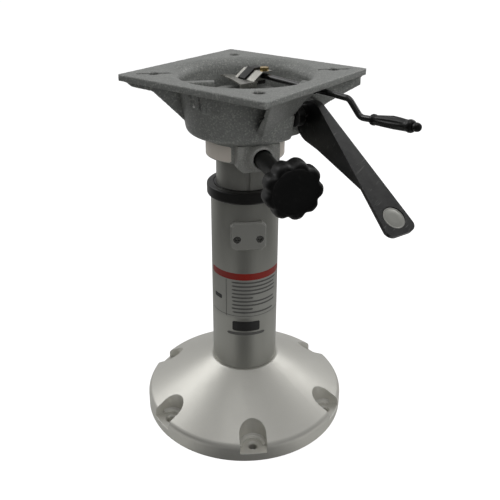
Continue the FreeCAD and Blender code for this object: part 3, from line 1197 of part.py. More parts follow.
def build_rod_clamp_nut():
    """Nut and short stud on the right arm, above the rod."""
    arm_top = "(Dims.WingHeight+Dims.ArmRise+Dims.SheetThickness)"
    body = hexagon("ClampNut", "Dims.ClampNutSize", "0.5", arm_top, "Dims.ClampNutHeight")
    across = "Dims.BlockRight+Dims.RunningGap*2+Dims.SheetThickness+Dims.ArmWidth/2"
    place(body, "Dims.RodAngle",
          x=f"({across})*cos(Dims.RodAngle)-Dims.RodOffset*sin(Dims.RodAngle)",
          y=f"({across})*sin(Dims.RodAngle)+Dims.RodOffset*cos(Dims.RodAngle)")
    return node(body, "rod_clamp_nut")


build_base_flange()
build_column_tube()
build_collar_bushing()
build_key_plate()
build_guide_key()
build_key_plate_screws()
build_foot_disc()
build_gas_spring_rod()
build_gas_spring_piston()
build_rod_nut()
build_inner_post()
build_post_rings()
build_gas_spring_cylinder()
build_release_pin()
build_seat_mount_casting()
build_swivel_neck()
build_neck_screws()
build_swivel_bushings()
build_tension_knob()
build_knob_stud_and_pad()
build_paddle_lever()
build_lever_fittings()
build_release_rod()
build_release_grip()
build_rod_wall_bush()
build_rod_bearing_block()
build_release_plate()
build_rod_clamp_nut()
doc.recompute()

for item in doc.Objects:
    if "Invalid" in item.State or "Error" in item.State:
        raise RuntimeError(f"{item.Label} could not be built: {item.State}")

os.makedirs("parts", exist_ok=True)
for item in nodes:
    shape = item.Shape
    if shape.isNull() or not shape.isValid() or not shape.Solids:
        raise RuntimeError(f"{item.Label} has no valid solid")
    print(f"{item.Label}: {len(shape.Solids)} solids, {shape.Volume:.0f} mm3")
    shape.exportStep(f"parts/{item.Label}.step")
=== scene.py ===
"""Looks of a boat seat pedestal: finishes, small trim and a plain studio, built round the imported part."""

from __future__ import annotations

import json
import logging
import math
from collections.abc import Callable, Sequence
from dataclasses import dataclass
from enum import Enum

import bmesh
import bpy
from mathutils import Matrix, Vector

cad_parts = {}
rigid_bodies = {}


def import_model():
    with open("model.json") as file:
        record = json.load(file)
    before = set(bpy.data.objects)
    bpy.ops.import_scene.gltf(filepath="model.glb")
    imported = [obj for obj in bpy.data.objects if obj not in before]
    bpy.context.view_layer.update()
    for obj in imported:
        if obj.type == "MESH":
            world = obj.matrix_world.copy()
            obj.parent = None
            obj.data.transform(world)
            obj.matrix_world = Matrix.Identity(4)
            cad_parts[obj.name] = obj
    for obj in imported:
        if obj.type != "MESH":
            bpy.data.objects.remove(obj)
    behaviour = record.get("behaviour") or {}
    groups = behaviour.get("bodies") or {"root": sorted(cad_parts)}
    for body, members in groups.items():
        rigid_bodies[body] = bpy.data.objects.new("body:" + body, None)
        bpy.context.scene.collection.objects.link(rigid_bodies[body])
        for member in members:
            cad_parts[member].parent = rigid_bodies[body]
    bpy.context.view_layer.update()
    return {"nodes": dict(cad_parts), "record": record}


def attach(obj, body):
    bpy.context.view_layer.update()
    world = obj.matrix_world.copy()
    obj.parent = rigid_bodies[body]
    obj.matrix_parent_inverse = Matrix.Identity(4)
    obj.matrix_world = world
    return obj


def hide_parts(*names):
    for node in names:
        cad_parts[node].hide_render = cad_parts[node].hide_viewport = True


LOG = logging.getLogger("pedestal")
MM = 0.001

Node = bpy.types.Node
Socket = bpy.types.NodeSocket
Colour = tuple[float, float, float]
Value = float | Socket


class Body(Enum):
    """Bodies of the pedestal that pieces ride on."""

    FOOT = "foot"
    MOUNT = "mount"
    RELEASE = "release"
    LEVER = "lever"
    KNOB = "knob"


class Slot(Enum):
    """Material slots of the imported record."""

    CAST_GREY = "cast_grey"
    FOOT_METAL = "foot_metal"
    TUBE_METAL = "tube_metal"
    PLATE_METAL = "plate_metal"
    COLLAR_PLASTIC = "collar_plastic"
    BEARING_PLASTIC = "bearing_plastic"
    KNOB_PLASTIC = "knob_plastic"
    LEVER_PAINT = "lever_paint"
    DISC_FACE = "disc_face"
    ROD_STEEL = "rod_steel"
    GRIP_PLASTIC = "grip_plastic"
    ZINC_SHEET = "zinc_sheet"
    STEEL = "steel"
    SCREW_STEEL = "screw_steel"
    BRASS = "brass"


# Places


def polar(angle: float, out: float, side: float, height: float) -> Vector:
    """Point beside the column.

    Args:
        angle: direction from the column's axis, in degrees.
        out: millimetres outwards in that direction.
        side: millimetres to the left of that direction.
        height: millimetres above the deck.

    Returns:
        The point in the row frame, in metres.
    """
    turn = math.radians(angle)
    x = out * math.cos(turn) - side * math.sin(turn)
    y = out * math.sin(turn) + side * math.cos(turn)
    return Vector((x, y, height)) * MM


def smooth_step(value: float) -> float:
    """Soft rise from 0 to 1 as value goes from 0 to 1."""
    share = min(max(value, 0.0), 1.0)
    return share * share * (3 - 2 * share)


def between(value: float, points: Sequence[tuple[float, float]]) -> float:
    """Height of a line of straight runs at one place.

    Args:
        value: place along the line.
        points: corners of the line as (place, height), in order of place.

    Returns:
        The height there; the ends carry on level.
    """
    if value <= points[0][0]:
        return points[0][1]
    for (start, low), (end, high) in zip(points, points[1:]):
        if value <= end:
            return low + (high - low) * (value - start) / (end - start)
    return points[-1][1]


# Node trees


# Sockets of the Mix node when it mixes colours
MIX_SHARE = 0
MIX_FIRST = 6
MIX_SECOND = 7
MIX_RESULT = 2


class NodeSheet:
    """Nodes of one tree, added and joined in a few words."""

    def __init__(self, tree: bpy.types.NodeTree) -> None:
        """Keep the tree that the nodes go in."""
        self.tree = tree

    def add(self, kind: str, **settings: object) -> Node:
        """New node.

        Args:
            kind: kind of the node.
            settings: its own settings.

        Returns:
            The node.
        """
        node = self.tree.nodes.new(kind)
        for name, value in settings.items():
            setattr(node, name, value)
        return node

    def feed(self, socket: Socket, value: object) -> None:
        """Link a socket into another, or set a constant on it.

        Args:
            socket: the input.
            value: another node's output, or a constant; a colour may have three numbers.
        """
        if isinstance(value, Socket):
            self.tree.links.new(value, socket)
        elif isinstance(value, tuple) and len(value) == 3 and socket.type == "RGBA":
            socket.default_value = (*value, 1.0)
        else:
            socket.default_value = value

    def made(self, kind: str, output: str | int, given: dict, **settings: object) -> Socket:
        """Output of a new node whose inputs are fed.

        Args:
            kind: kind of the node.
            output: name or number of the output.
            given: what goes into its inputs, by name or number.
            settings: the node's own settings.

        Returns:
            The output.
        """
        node = self.add(kind, **settings)
        for key, value in given.items():
            self.feed(node.inputs[key], value)
        return node.outputs[output]

    def math(self, operation: str, *values: Value) -> Socket:
        """Result of one Math node."""
        return self.made("ShaderNodeMath", 0, dict(enumerate(values)), operation=operation)

    def times(self, first: Value, second: Value) -> Socket:
        """Product of two values."""
        return self.math("MULTIPLY", first, second)

    def dot(self, first: Socket, second: object) -> Socket:
        """Dot product of two vectors."""
        return self.made("ShaderNodeVectorMath", "Value", {0: first, 1: second}, operation="DOT_PRODUCT")

    def length(self, vector: Socket) -> Socket:
        """Length of a vector."""
        return self.made("ShaderNodeVectorMath", "Value", {0: vector}, operation="LENGTH")

    def span(self, value: Value, low: float, high: float, start: Value = 0.0, end: Value = 1.0) -> Socket:
        """Value moved from the range of low to high to that of start to end, and kept inside it."""
        given = {"Value": value, "From Min": low, "From Max": high, "To Min": start, "To Max": end}
        return self.made("ShaderNodeMapRange", "Result", given, clamp=True)

    def blend(self, share: Value, first: object, second: object) -> Socket:
        """Mix of two colours."""
        given = {MIX_SHARE: share, MIX_FIRST: first, MIX_SECOND: second}
        return self.made("ShaderNodeMix", MIX_RESULT, given, data_type="RGBA", clamp_factor=True)

    def over(self, colour: object, tint: object, mask: Socket, share: float) -> Socket:
        """Colour with a tint laid over it, as strong as share where the mask is full."""
        return self.blend(self.times(mask, share), colour, tint)

    def place(self) -> Socket:
        """Place on the piece in the row frame, which stays with the piece as it moves."""
        return self.add("ShaderNodeTexCoord").outputs["Object"]

    def stretched(self, place: Socket, scale: Colour) -> Socket:
        """Place with each axis stretched on its own."""
        return self.made("ShaderNodeMapping", "Vector", {"Vector": place, "Scale": scale})

    def noise(self, place: Socket, scale: Value, detail: float = 2.0, rough: float = 0.5) -> Socket:
        """Soft noise with so many cells to the metre."""
        given = {"Vector": place, "Scale": scale, "Detail": detail, "Roughness": rough}
        return self.made("ShaderNodeTexNoise", "Fac", given)

    def cells(self, place: Socket, scale: Value, output: str = "Distance") -> Socket:
        """Voronoi cells with so many to the metre."""
        return self.made("ShaderNodeTexVoronoi", output, {"Vector": place, "Scale": scale})

    def bump(self, height: Value, depth: float, strength: float, normal: Socket | None = None) -> Socket:
        """Normal of a surface with small relief.

        Args:
            height: the relief, from 0 to 1.
            depth: how deep it is, in metres.
            strength: how much of it shows.
            normal: the surface's normal before it, if not its own.

        Returns:
            The normal.
        """
        given = {"Height": height, "Distance": depth, "Strength": strength}
        if normal is not None:
            given["Normal"] = normal
        return self.made("ShaderNodeBump", "Normal", given)


@dataclass(frozen=True)
class Effect:
    """One shader node group with named inputs and outputs."""

    name: str
    inputs: tuple[tuple[str, float], ...]
    outputs: tuple[tuple[str, str], ...]
    wire: Callable[[NodeSheet, Node, Node], None]

    def build(self) -> bpy.types.NodeTree:
        """Make the group and wire what is inside it.

        Returns:
            The group's tree.
        """
        tree = bpy.data.node_groups.new(self.name, "ShaderNodeTree")
        for name, value in self.inputs:
            socket = tree.interface.new_socket(name, in_out="INPUT", socket_type="NodeSocketFloat")
            socket.default_value = value
        for name, kind in self.outputs:
            tree.interface.new_socket(name, in_out="OUTPUT", socket_type=kind)
        sheet = NodeSheet(tree)
        self.wire(sheet, sheet.add("NodeGroupInput"), sheet.add("NodeGroupOutput"))
        return tree


def wire_cast_grain(sheet: NodeSheet, given: Node, result: Node) -> None:
    """Skin of a sand casting: small hills, pits between them and pale grains.

    Args:
        sheet: tree of the group.
        given: its input node.
        result: its output node.
    """
    place = sheet.place()
    cells = given.outputs["Cells"]
    fine = sheet.noise(place, cells, detail=3.0, rough=0.6)
    coarse = sheet.noise(place, sheet.times(cells, 0.28), detail=2.0)
    pits = sheet.span(sheet.cells(place, sheet.times(cells, 0.55)), 0.0, 0.45)
    hills = sheet.math("ADD", sheet.times(fine, 0.55), sheet.times(coarse, 0.3))
    height = sheet.math("ADD", hills, sheet.times(pits, 0.15))
    sheet.feed(result.inputs["Height"], height)
    sparse = sheet.noise(place, sheet.times(cells, 0.8), detail=1.0)
    sheet.feed(result.inputs["Pale grains"], sheet.span(sparse, 0.55, 0.66))
    sheet.feed(result.inputs["Dark pits"], sheet.span(fine, 0.46, 0.34))


def wire_cloudy(sheet: NodeSheet, given: Node, result: Node) -> None:
    """Large soft clouds and thin streaks, for stains and handling marks.

    Args:
        sheet: tree of the group.
        given: its input node.
        result: its output node.
    """
    place = sheet.place()
    clouds = sheet.noise(place, given.outputs["Cells"], detail=4.0, rough=0.62)
    sheet.feed(result.inputs["Clouds"], sheet.span(clouds, 0.3, 0.7))
    slim = sheet.stretched(place, (1.0, 1.0, 0.12))
    streaks = sheet.noise(slim, sheet.times(given.outputs["Cells"], 5.0), detail=3.0)
    sheet.feed(result.inputs["Streaks"], sheet.span(streaks, 0.5, 0.75))


def wire_edge_wear_and_highlight(sheet: NodeSheet, given: Node, result: Node) -> None:
    """Outer edges made paler, broken up by noise: partly wear where paint is thin or rubbed through, partly a
    painted highlight along the edges.

    Args:
        sheet: tree of the group.
        given: its input node.
        result: its output node.
    """
    rounded = sheet.add("ShaderNodeBevel", samples=6)
    sheet.feed(rounded.inputs["Radius"], given.outputs["Width"])
    flat = sheet.add("ShaderNodeNewGeometry").outputs["Normal"]
    turn = sheet.math("SUBTRACT", 1.0, sheet.dot(flat, rounded.outputs["Normal"]))
    open_air = sheet.add("ShaderNodeAmbientOcclusion", samples=4, only_local=True)
    sheet.feed(open_air.inputs["Distance"], sheet.times(given.outputs["Width"], 2.0))
    outer = sheet.span(open_air.outputs["AO"], 0.75, 0.95)
    breaks = sheet.noise(sheet.place(), given.outputs["Cells"], detail=3.0, rough=0.6)
    edge = sheet.times(sheet.span(turn, 0.004, 0.08), outer)
    sheet.feed(result.inputs["Wear and highlight"], sheet.times(edge, sheet.span(breaks, 0.35, 0.6)))
    sheet.feed(result.inputs["Normal"], rounded.outputs["Normal"])


def wire_dust(sheet: NodeSheet, given: Node, result: Node) -> None:
    """Dust that settles on faces that look up.

    Args:
        sheet: tree of the group.
        given: its input node.
        result: its output node.
    """
    up = sheet.dot(sheet.add("ShaderNodeNewGeometry").outputs["Normal"], (0.0, 0.0, 1.0))
    drift = sheet.noise(sheet.place(), given.outputs["Cells"], detail=5.0, rough=0.65)
    drift = sheet.span(drift, 0.4, 0.75)
    sheet.feed(result.inputs["Dust"], sheet.times(sheet.span(up, 0.3, 1.0), drift))


def wire_painted_hollow_shade(sheet: NodeSheet, given: Node, result: Node) -> None:
    """Painted shade: corners and hollows darkened by how closed in they are, as shade falls there.

    Args:
        sheet: tree of the group.
        given: its input node.
        result: its output node.
    """
    open_air = sheet.add("ShaderNodeAmbientOcclusion", samples=6, only_local=True)
    sheet.feed(open_air.inputs["Distance"], given.outputs["Reach"])
    sheet.feed(result.inputs["Hollow shade"], sheet.span(open_air.outputs["AO"], 0.82, 0.38))


def wire_moulded(sheet: NodeSheet, given: Node, result: Node) -> None:
    """Fine grain of moulded plastic with a few hairline scuffs.

    Args:
        sheet: tree of the group.
        given: its input node.
        result: its output node.
    """
    place = sheet.place()
    grain = sheet.noise(place, given.outputs["Cells"], detail=2.0, rough=0.5)
    sheet.feed(result.inputs["Height"], grain)
    slanted = sheet.stretched(place, (1.0, 0.1, 0.35))
    scuffs = sheet.noise(slanted, sheet.times(given.outputs["Cells"], 0.5), detail=1.0)
    sheet.feed(result.inputs["Scuffs"], sheet.span(scuffs, 0.66, 0.74))


class Effects:
    """The shader node groups that the finishes share, each built once."""

    def __init__(self) -> None:
        """Build all groups."""
        number = "NodeSocketFloat"
        effects = [
            Effect("cast_grain", (("Cells", 900.0),),
                   (("Height", number), ("Pale grains", number), ("Dark pits", number)), wire_cast_grain),
            Effect("cloudy", (("Cells", 14.0),), (("Clouds", number), ("Streaks", number)), wire_cloudy),
            # Paler outer edges: partly wear, partly a painted highlight.
            Effect("edge_wear_and_highlight", (("Width", 0.0008), ("Cells", 260.0)),
                   (("Wear and highlight", number), ("Normal", "NodeSocketVector")), wire_edge_wear_and_highlight),
            Effect("dust", (("Cells", 40.0),), (("Dust", number),), wire_dust),
            # Painted shade in corners and hollows.
            Effect("painted_hollow_shade", (("Reach", 0.01),), (("Hollow shade", number),), wire_painted_hollow_shade),
            Effect("moulded", (("Cells", 1600.0),), (("Height", number), ("Scuffs", number)), wire_moulded),
        ]
        self.trees = {effect.name: effect.build() for effect in effects}

    def use(self, sheet: NodeSheet, name: str, **values: float) -> Node:
        """Place one group in a material.

        Args:
            sheet: tree of the material.
            name: name of the group.
            values: values for its inputs, by name in lower case.

        Returns:
            The group's node.
        """
        node = sheet.add("ShaderNodeGroup", node_tree=self.trees[name])
        for key, value in values.items():
            node.inputs[key.capitalize()].default_value = value
        return node


# Finishes


def new_material(name: str) -> tuple[bpy.types.Material, NodeSheet, Node]:
    """Empty material.

    Args:
        name: name of the material.

    Returns:
        The material, its tree and its Principled BSDF.
    """
    material = bpy.data.materials.new(name)
    material.use_nodes = True
    material.node_tree.nodes.clear()
    sheet = NodeSheet(material.node_tree)
    shader = sheet.add("ShaderNodeBsdfPrincipled")
    out = sheet.add("ShaderNodeOutputMaterial")
    sheet.feed(out.inputs["Surface"], shader.outputs["BSDF"])
    return material, sheet, shader


@dataclass(frozen=True)
class CastFinish:
    """Painted sand casting with a rough skin, paler edges that are partly wear and partly painted highlight,
    and painted shade in its hollows.
    """

    name: str
    paint: Colour
    pale: Colour
    dark: Colour
    bare_and_highlight: Colour
    cells: float
    relief: float
    metal: float
    gloss_low: float
    gloss_high: float
    edge_width: float
    edge_share: float
    # Colour of the painted shade in corners and hollows.
    hollow_shade: Colour = (0.030, 0.030, 0.027)

    def make(self, effects: Effects) -> bpy.types.Material:
        """Build the material.

        Args:
            effects: the shared groups.

        Returns:
            The material.
        """
        material, sheet, shader = new_material(self.name)
        grain = effects.use(sheet, "cast_grain", cells=self.cells)
        cloudy = effects.use(sheet, "cloudy", cells=16.0)
        edges = effects.use(sheet, "edge_wear_and_highlight", width=self.edge_width, cells=420.0)
        dust = effects.use(sheet, "dust", cells=55.0)
        recess = effects.use(sheet, "painted_hollow_shade", reach=0.014)
        colour = sheet.over(self.paint, self.dark, cloudy.outputs["Clouds"], share=0.35)
        # Painted shade: corners and hollows darkened by ambient occlusion.
        colour = sheet.over(colour, self.hollow_shade, recess.outputs["Hollow shade"], share=0.9)
        colour = sheet.over(colour, self.dark, grain.outputs["Dark pits"], share=0.6)
        colour = sheet.over(colour, self.pale, grain.outputs["Pale grains"], share=0.45)
        colour = sheet.over(colour, self.pale, dust.outputs["Dust"], share=0.16)
        # Paler edges: partly wear, partly a painted highlight along the edges.
        colour = sheet.over(colour, self.bare_and_highlight, edges.outputs["Wear and highlight"], share=self.edge_share)
        sheet.feed(shader.inputs["Base Color"], colour)
        rough = sheet.span(cloudy.outputs["Clouds"], 0.0, 1.0, self.gloss_high, self.gloss_low)
        sheet.feed(shader.inputs["Roughness"], rough)
        sheet.feed(shader.inputs["Metallic"], self.metal)
        normal = edges.outputs["Normal"]
        normal = sheet.bump(grain.outputs["Height"], self.relief, strength=0.9, normal=normal)
        sheet.feed(shader.inputs["Normal"], normal)
        return material


@dataclass(frozen=True)
class SatinMetal:
    """Metal or metallic paint with a fine satin skin."""

    name: str
    colour: Colour
    shade: Colour
    metal: float
    gloss_low: float
    gloss_high: float
    cells: float
    relief: float
    edge_width: float = 0.0006
    edge_share: float = 0.35
    bare_and_highlight: Colour = (0.75, 0.74, 0.70)

    def make(self, effects: Effects) -> bpy.types.Material:
        """Build the material.

        Args:
            effects: the shared groups.

        Returns:
            The material.
        """
        material, sheet, shader = new_material(self.name)
        cloudy = effects.use(sheet, "cloudy", cells=11.0)
        edges = effects.use(sheet, "edge_wear_and_highlight", width=self.edge_width, cells=300.0)
        dust = effects.use(sheet, "dust", cells=70.0)
        skin = effects.use(sheet, "moulded", cells=self.cells)
        flake = sheet.noise(sheet.place(), self.cells * 1.6, detail=1.0)
        colour = sheet.blend(sheet.span(flake, 0.35, 0.65, end=0.35), self.colour, self.shade)
        colour = sheet.over(colour, self.shade, cloudy.outputs["Clouds"], share=0.3)
        colour = sheet.over(colour, self.bare_and_highlight, dust.outputs["Dust"], share=0.08)
        # Paler edges: partly wear, partly a painted highlight along the edges.
        colour = sheet.over(colour, self.bare_and_highlight, edges.outputs["Wear and highlight"], share=self.edge_share)
        sheet.feed(shader.inputs["Base Color"], colour)
        rough = sheet.span(cloudy.outputs["Streaks"], 0.0, 1.0, self.gloss_low, self.gloss_high)
        rough = sheet.math("ADD", rough, sheet.times(skin.outputs["Scuffs"], 0.08))
        sheet.feed(shader.inputs["Roughness"], rough)
        sheet.feed(shader.inputs["Metallic"], self.metal)
        normal = sheet.bump(skin.outputs["Height"], self.relief, strength=0.5, normal=edges.outputs["Normal"])
        sheet.feed(shader.inputs["Normal"], normal)
        return material


@dataclass(frozen=True)
class Moulded:
    """Plastic or gloss paint with fine grain, scuffs, and paler edges that are partly wear and partly painted
    highlight.
    """

    name: str
    colour: Colour
    worn_and_highlight: Colour
    gloss_low: float
    gloss_high: float
    cells: float
    relief: float
    coat: float = 0.0
    edge_width: float = 0.0006
    edge_share: float = 0.5

    def make(self, effects: Effects) -> bpy.types.Material:
        """Build the material.

        Args:
            effects: the shared groups.

        Returns:
            The material.
        """
        material, sheet, shader = new_material(self.name)
        cloudy = effects.use(sheet, "cloudy", cells=24.0)
        edges = effects.use(sheet, "edge_wear_and_highlight", width=self.edge_width, cells=380.0)
        dust = effects.use(sheet, "dust", cells=90.0)
        skin = effects.use(sheet, "moulded", cells=self.cells)
        colour = sheet.over(self.colour, self.worn_and_highlight, dust.outputs["Dust"], share=0.14)
        colour = sheet.over(colour, self.worn_and_highlight, skin.outputs["Scuffs"], share=0.25)
        # Paler edges: partly wear, partly a painted highlight along the edges.
        colour = sheet.over(colour, self.worn_and_highlight, edges.outputs["Wear and highlight"], share=self.edge_share)
        sheet.feed(shader.inputs["Base Color"], colour)
        rough = sheet.span(cloudy.outputs["Clouds"], 0.0, 1.0, self.gloss_low, self.gloss_high)
        sheet.feed(shader.inputs["Roughness"], rough)
        shader.inputs["Coat Weight"].default_value = self.coat
        shader.inputs["Coat Roughness"].default_value = 0.2
        normal = sheet.bump(skin.outputs["Height"], self.relief, strength=0.4, normal=edges.outputs["Normal"])
        sheet.feed(shader.inputs["Normal"], normal)
        return material


@dataclass(frozen=True)
class ZincPlate:
    """Bright zinc plating with faint crystals and a dulled film."""

    name: str
    colour: Colour
    film: Colour
    gloss: float

    def make(self, effects: Effects) -> bpy.types.Material:
        """Build the material.

        Args:
            effects: the shared groups.

        Returns:
            The material.
        """
        material, sheet, shader = new_material(self.name)
        cloudy = effects.use(sheet, "cloudy", cells=60.0)
        edges = effects.use(sheet, "edge_wear_and_highlight", width=0.0004, cells=300.0)
        crystals = sheet.cells(sheet.place(), 420.0, "Color")
        tone = sheet.span(sheet.dot(crystals, (0.33, 0.33, 0.33)), 0.2, 0.8)
        colour = sheet.blend(sheet.times(tone, 0.35), self.colour, self.film)
        colour = sheet.over(colour, self.film, cloudy.outputs["Clouds"], share=0.5)
        sheet.feed(shader.inputs["Base Color"], colour)
        sheet.feed(shader.inputs["Metallic"], 1.0)
        sheet.feed(shader.inputs["Roughness"], sheet.span(tone, 0.0, 1.0, self.gloss, self.gloss + 0.14))
        normal = sheet.bump(tone, depth=0.00002, strength=0.4, normal=edges.outputs["Normal"])
        sheet.feed(shader.inputs["Normal"], normal)
        return material


@dataclass(frozen=True)
class PrintedFilm:
    """Thin printed film stuck to metal, with a soft gloss and slightly uneven ink."""

    name: str
    colour: Colour
    faded: Colour
    gloss: float
    metal: float = 0.0

    def make(self, effects: Effects) -> bpy.types.Material:
        """Build the material.

        Args:
            effects: the shared groups.

        Returns:
            The material.
        """
        material, sheet, shader = new_material(self.name)
        cloudy = effects.use(sheet, "cloudy", cells=70.0)
        skin = effects.use(sheet, "moulded", cells=1400.0)
        uneven = sheet.math("ADD", sheet.times(cloudy.outputs["Clouds"], 0.3),
                            sheet.times(skin.outputs["Scuffs"], 0.4))
        sheet.feed(shader.inputs["Base Color"], sheet.blend(uneven, self.colour, self.faded))
        sheet.feed(shader.inputs["Metallic"], self.metal)
        sheet.feed(shader.inputs["Roughness"],
                   sheet.span(cloudy.outputs["Clouds"], 0.0, 1.0, self.gloss, self.gloss + 0.1))
        normal = sheet.bump(skin.outputs["Height"], depth=0.00001, strength=0.3)
        sheet.feed(shader.inputs["Normal"], normal)
        return material


Finish = CastFinish | SatinMetal | Moulded | ZincPlate | PrintedFilm

CAST_SKIN = CastFinish(
    "cast_skin", paint=(0.300, 0.310, 0.295), pale=(0.58, 0.58, 0.55), dark=(0.150, 0.155, 0.147),
    bare_and_highlight=(0.80, 0.80, 0.76), cells=700.0, relief=0.0008, metal=0.12, gloss_low=0.32, gloss_high=0.46,
    edge_width=0.0013, edge_share=0.9)
NECK_SKIN = CastFinish(
    "neck_skin", paint=(0.440, 0.446, 0.420), pale=(0.66, 0.66, 0.63), dark=(0.270, 0.272, 0.255),
    bare_and_highlight=(0.70, 0.70, 0.66), cells=900.0, relief=0.00026, metal=0.12, gloss_low=0.36, gloss_high=0.48,
    edge_width=0.0008, edge_share=0.4)
FOOT_SATIN = SatinMetal(
    "foot_satin", colour=(0.75, 0.74, 0.685), shade=(0.66, 0.65, 0.60), metal=0.62, gloss_low=0.36,
    gloss_high=0.42, cells=1500.0, relief=0.00004, edge_width=0.0011, edge_share=0.75,
    bare_and_highlight=(0.92, 0.91, 0.88))
TUBE_SATIN = SatinMetal(
    "tube_satin", colour=(0.44, 0.44, 0.405), shade=(0.38, 0.38, 0.345), metal=0.72, gloss_low=0.32,
    gloss_high=0.40, cells=1700.0, relief=0.00004)
POST_SATIN = SatinMetal(
    "post_satin", colour=(0.42, 0.42, 0.39), shade=(0.35, 0.35, 0.32), metal=0.6, gloss_low=0.36,
    gloss_high=0.46, cells=1500.0, relief=0.00005)
PLATE_SATIN = SatinMetal(
    "plate_satin", colour=(0.36, 0.36, 0.335), shade=(0.31, 0.31, 0.285), metal=0.3, gloss_low=0.38,
    gloss_high=0.48, cells=1500.0, relief=0.00005, edge_width=0.0009, edge_share=0.6)
COLLAR_BLACK = Moulded(
    "collar_black", colour=(0.010, 0.010, 0.009), worn_and_highlight=(0.045, 0.045, 0.042), gloss_low=0.26,
    gloss_high=0.42, cells=1500.0, relief=0.00005)
BEARING_BLACK = Moulded(
    "bearing_black", colour=(0.014, 0.014, 0.013), worn_and_highlight=(0.05, 0.05, 0.05), gloss_low=0.35,
    gloss_high=0.5, cells=1500.0, relief=0.00005)
KNOB_BLACK = Moulded(
    "knob_black", colour=(0.002, 0.002, 0.002), worn_and_highlight=(0.026, 0.026, 0.025), gloss_low=0.36,
    gloss_high=0.50, cells=1300.0, relief=0.00005)
LEVER_BLACK = Moulded(
    "lever_black", colour=(0.003, 0.003, 0.0028), worn_and_highlight=(0.20, 0.20, 0.19), gloss_low=0.30,
    gloss_high=0.40, cells=1100.0, relief=0.00008, coat=0.35, edge_width=0.0008, edge_share=0.5)
ROD_BLACK = Moulded(
    "rod_black", colour=(0.008, 0.008, 0.008), worn_and_highlight=(0.05, 0.05, 0.05), gloss_low=0.14, gloss_high=0.26,
    cells=1500.0, relief=0.00003, coat=0.6)
GRIP_BLACK = Moulded(
    "grip_black", colour=(0.005, 0.005, 0.005), worn_and_highlight=(0.06, 0.06, 0.057), gloss_low=0.22, gloss_high=0.34,
    cells=1000.0, relief=0.00012)
DISC_SILVER = SatinMetal(
    "disc_silver", colour=(0.36, 0.36, 0.33), shade=(0.30, 0.30, 0.28), metal=0.45, gloss_low=0.30,
    gloss_high=0.38, cells=1200.0, relief=0.00004)
ZINC = ZincPlate("zinc", colour=(0.62, 0.61, 0.57), film=(0.40, 0.39, 0.35), gloss=0.26)
STEEL = SatinMetal(
    "steel", colour=(0.46, 0.46, 0.45), shade=(0.32, 0.32, 0.31), metal=1.0, gloss_low=0.25,
    gloss_high=0.38, cells=1500.0, relief=0.00004)
SCREW = SatinMetal(
    "screw", colour=(0.40, 0.40, 0.38), shade=(0.22, 0.22, 0.21), metal=1.0, gloss_low=0.24,
    gloss_high=0.36, cells=1500.0, relief=0.00004)
BRASS = SatinMetal(
    "brass", colour=(0.62, 0.44, 0.17), shade=(0.40, 0.27, 0.10), metal=1.0, gloss_low=0.24,
    gloss_high=0.36, cells=1500.0, relief=0.00004)
FILM_PALE = PrintedFilm(
    "film_pale", colour=(0.42, 0.42, 0.39), faded=(0.36, 0.36, 0.33), gloss=0.36, metal=0.5)
FILM_RED = PrintedFilm("film_red", colour=(0.30, 0.018, 0.010), faded=(0.20, 0.020, 0.014), gloss=0.34)
FILM_DARK = PrintedFilm("film_dark", colour=(0.016, 0.016, 0.015), faded=(0.04, 0.04, 0.04), gloss=0.4)
FILM_WHITE = PrintedFilm("film_white", colour=(0.96, 0.89, 0.80), faded=(0.84, 0.77, 0.68), gloss=0.42)
FILM_GREY = PrintedFilm("film_grey", colour=(0.10, 0.10, 0.095), faded=(0.17, 0.17, 0.16), gloss=0.4)

FINISH_OF_NODE: dict[str, Finish] = {"swivel_neck": NECK_SKIN, "inner_post": POST_SATIN}
FINISH_OF_SLOT: dict[Slot, Finish] = {
    Slot.CAST_GREY: CAST_SKIN,
    Slot.FOOT_METAL: FOOT_SATIN,
    Slot.TUBE_METAL: TUBE_SATIN,
    Slot.PLATE_METAL: PLATE_SATIN,
    Slot.COLLAR_PLASTIC: COLLAR_BLACK,
    Slot.BEARING_PLASTIC: BEARING_BLACK,
    Slot.KNOB_PLASTIC: KNOB_BLACK,
    Slot.LEVER_PAINT: LEVER_BLACK,
    Slot.DISC_FACE: DISC_SILVER,
    Slot.ROD_STEEL: ROD_BLACK,
    Slot.GRIP_PLASTIC: GRIP_BLACK,
    Slot.ZINC_SHEET: ZINC,
    Slot.STEEL: STEEL,
    Slot.SCREW_STEEL: SCREW,
    Slot.BRASS: BRASS,
}


class Wardrobe:
    """Keeps each finish's material, made once, and puts it on pieces."""

    def __init__(self, effects: Effects) -> None:
        """Keep the shared groups."""
        self.effects = effects
        self.made: dict[str, bpy.types.Material] = {}

    def material(self, finish: Finish) -> bpy.types.Material:
        """Material of a finish, made at its first use."""
        if finish.name not in self.made:
            self.made[finish.name] = finish.make(self.effects)
        return self.made[finish.name]

    def dress(self, piece: bpy.types.Object, finish: Finish) -> None:
        """Give a piece one finish all over."""
        piece.data.materials.clear()
        piece.data.materials.append(self.material(finish))

    def fit(self, piece: bpy.types.Object, finish: Finish, body: Body,
            replaced: str | None = None) -> None:
        """Dress a piece and say what it is to the part.

        Args:
            piece: the piece.
            finish: its finish.
            body: the body that it rides on.
            replaced: the node that it stands for, if it stands for one.
        """
        self.dress(piece, finish)
        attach(piece, body.value)
        if replaced is not None:
            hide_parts(replaced)
        LOG.info("%s rides on %s in %s", piece.name, body.value, finish.name)

    def dress_frame(self, nodes: dict[str, bpy.types.Object], slots: dict[str, str]) -> None:
        """Give each node of the part its finish.

        Args:
            nodes: objects of the part by node name.
            slots: the record's material slot of each node.
        """
        for name, piece in nodes.items():
            finish = FINISH_OF_NODE.get(name, FINISH_OF_SLOT[Slot(slots[name])])
            self.dress(piece, finish)
            LOG.info("%s has finish %s", name, finish.name)


# Meshes


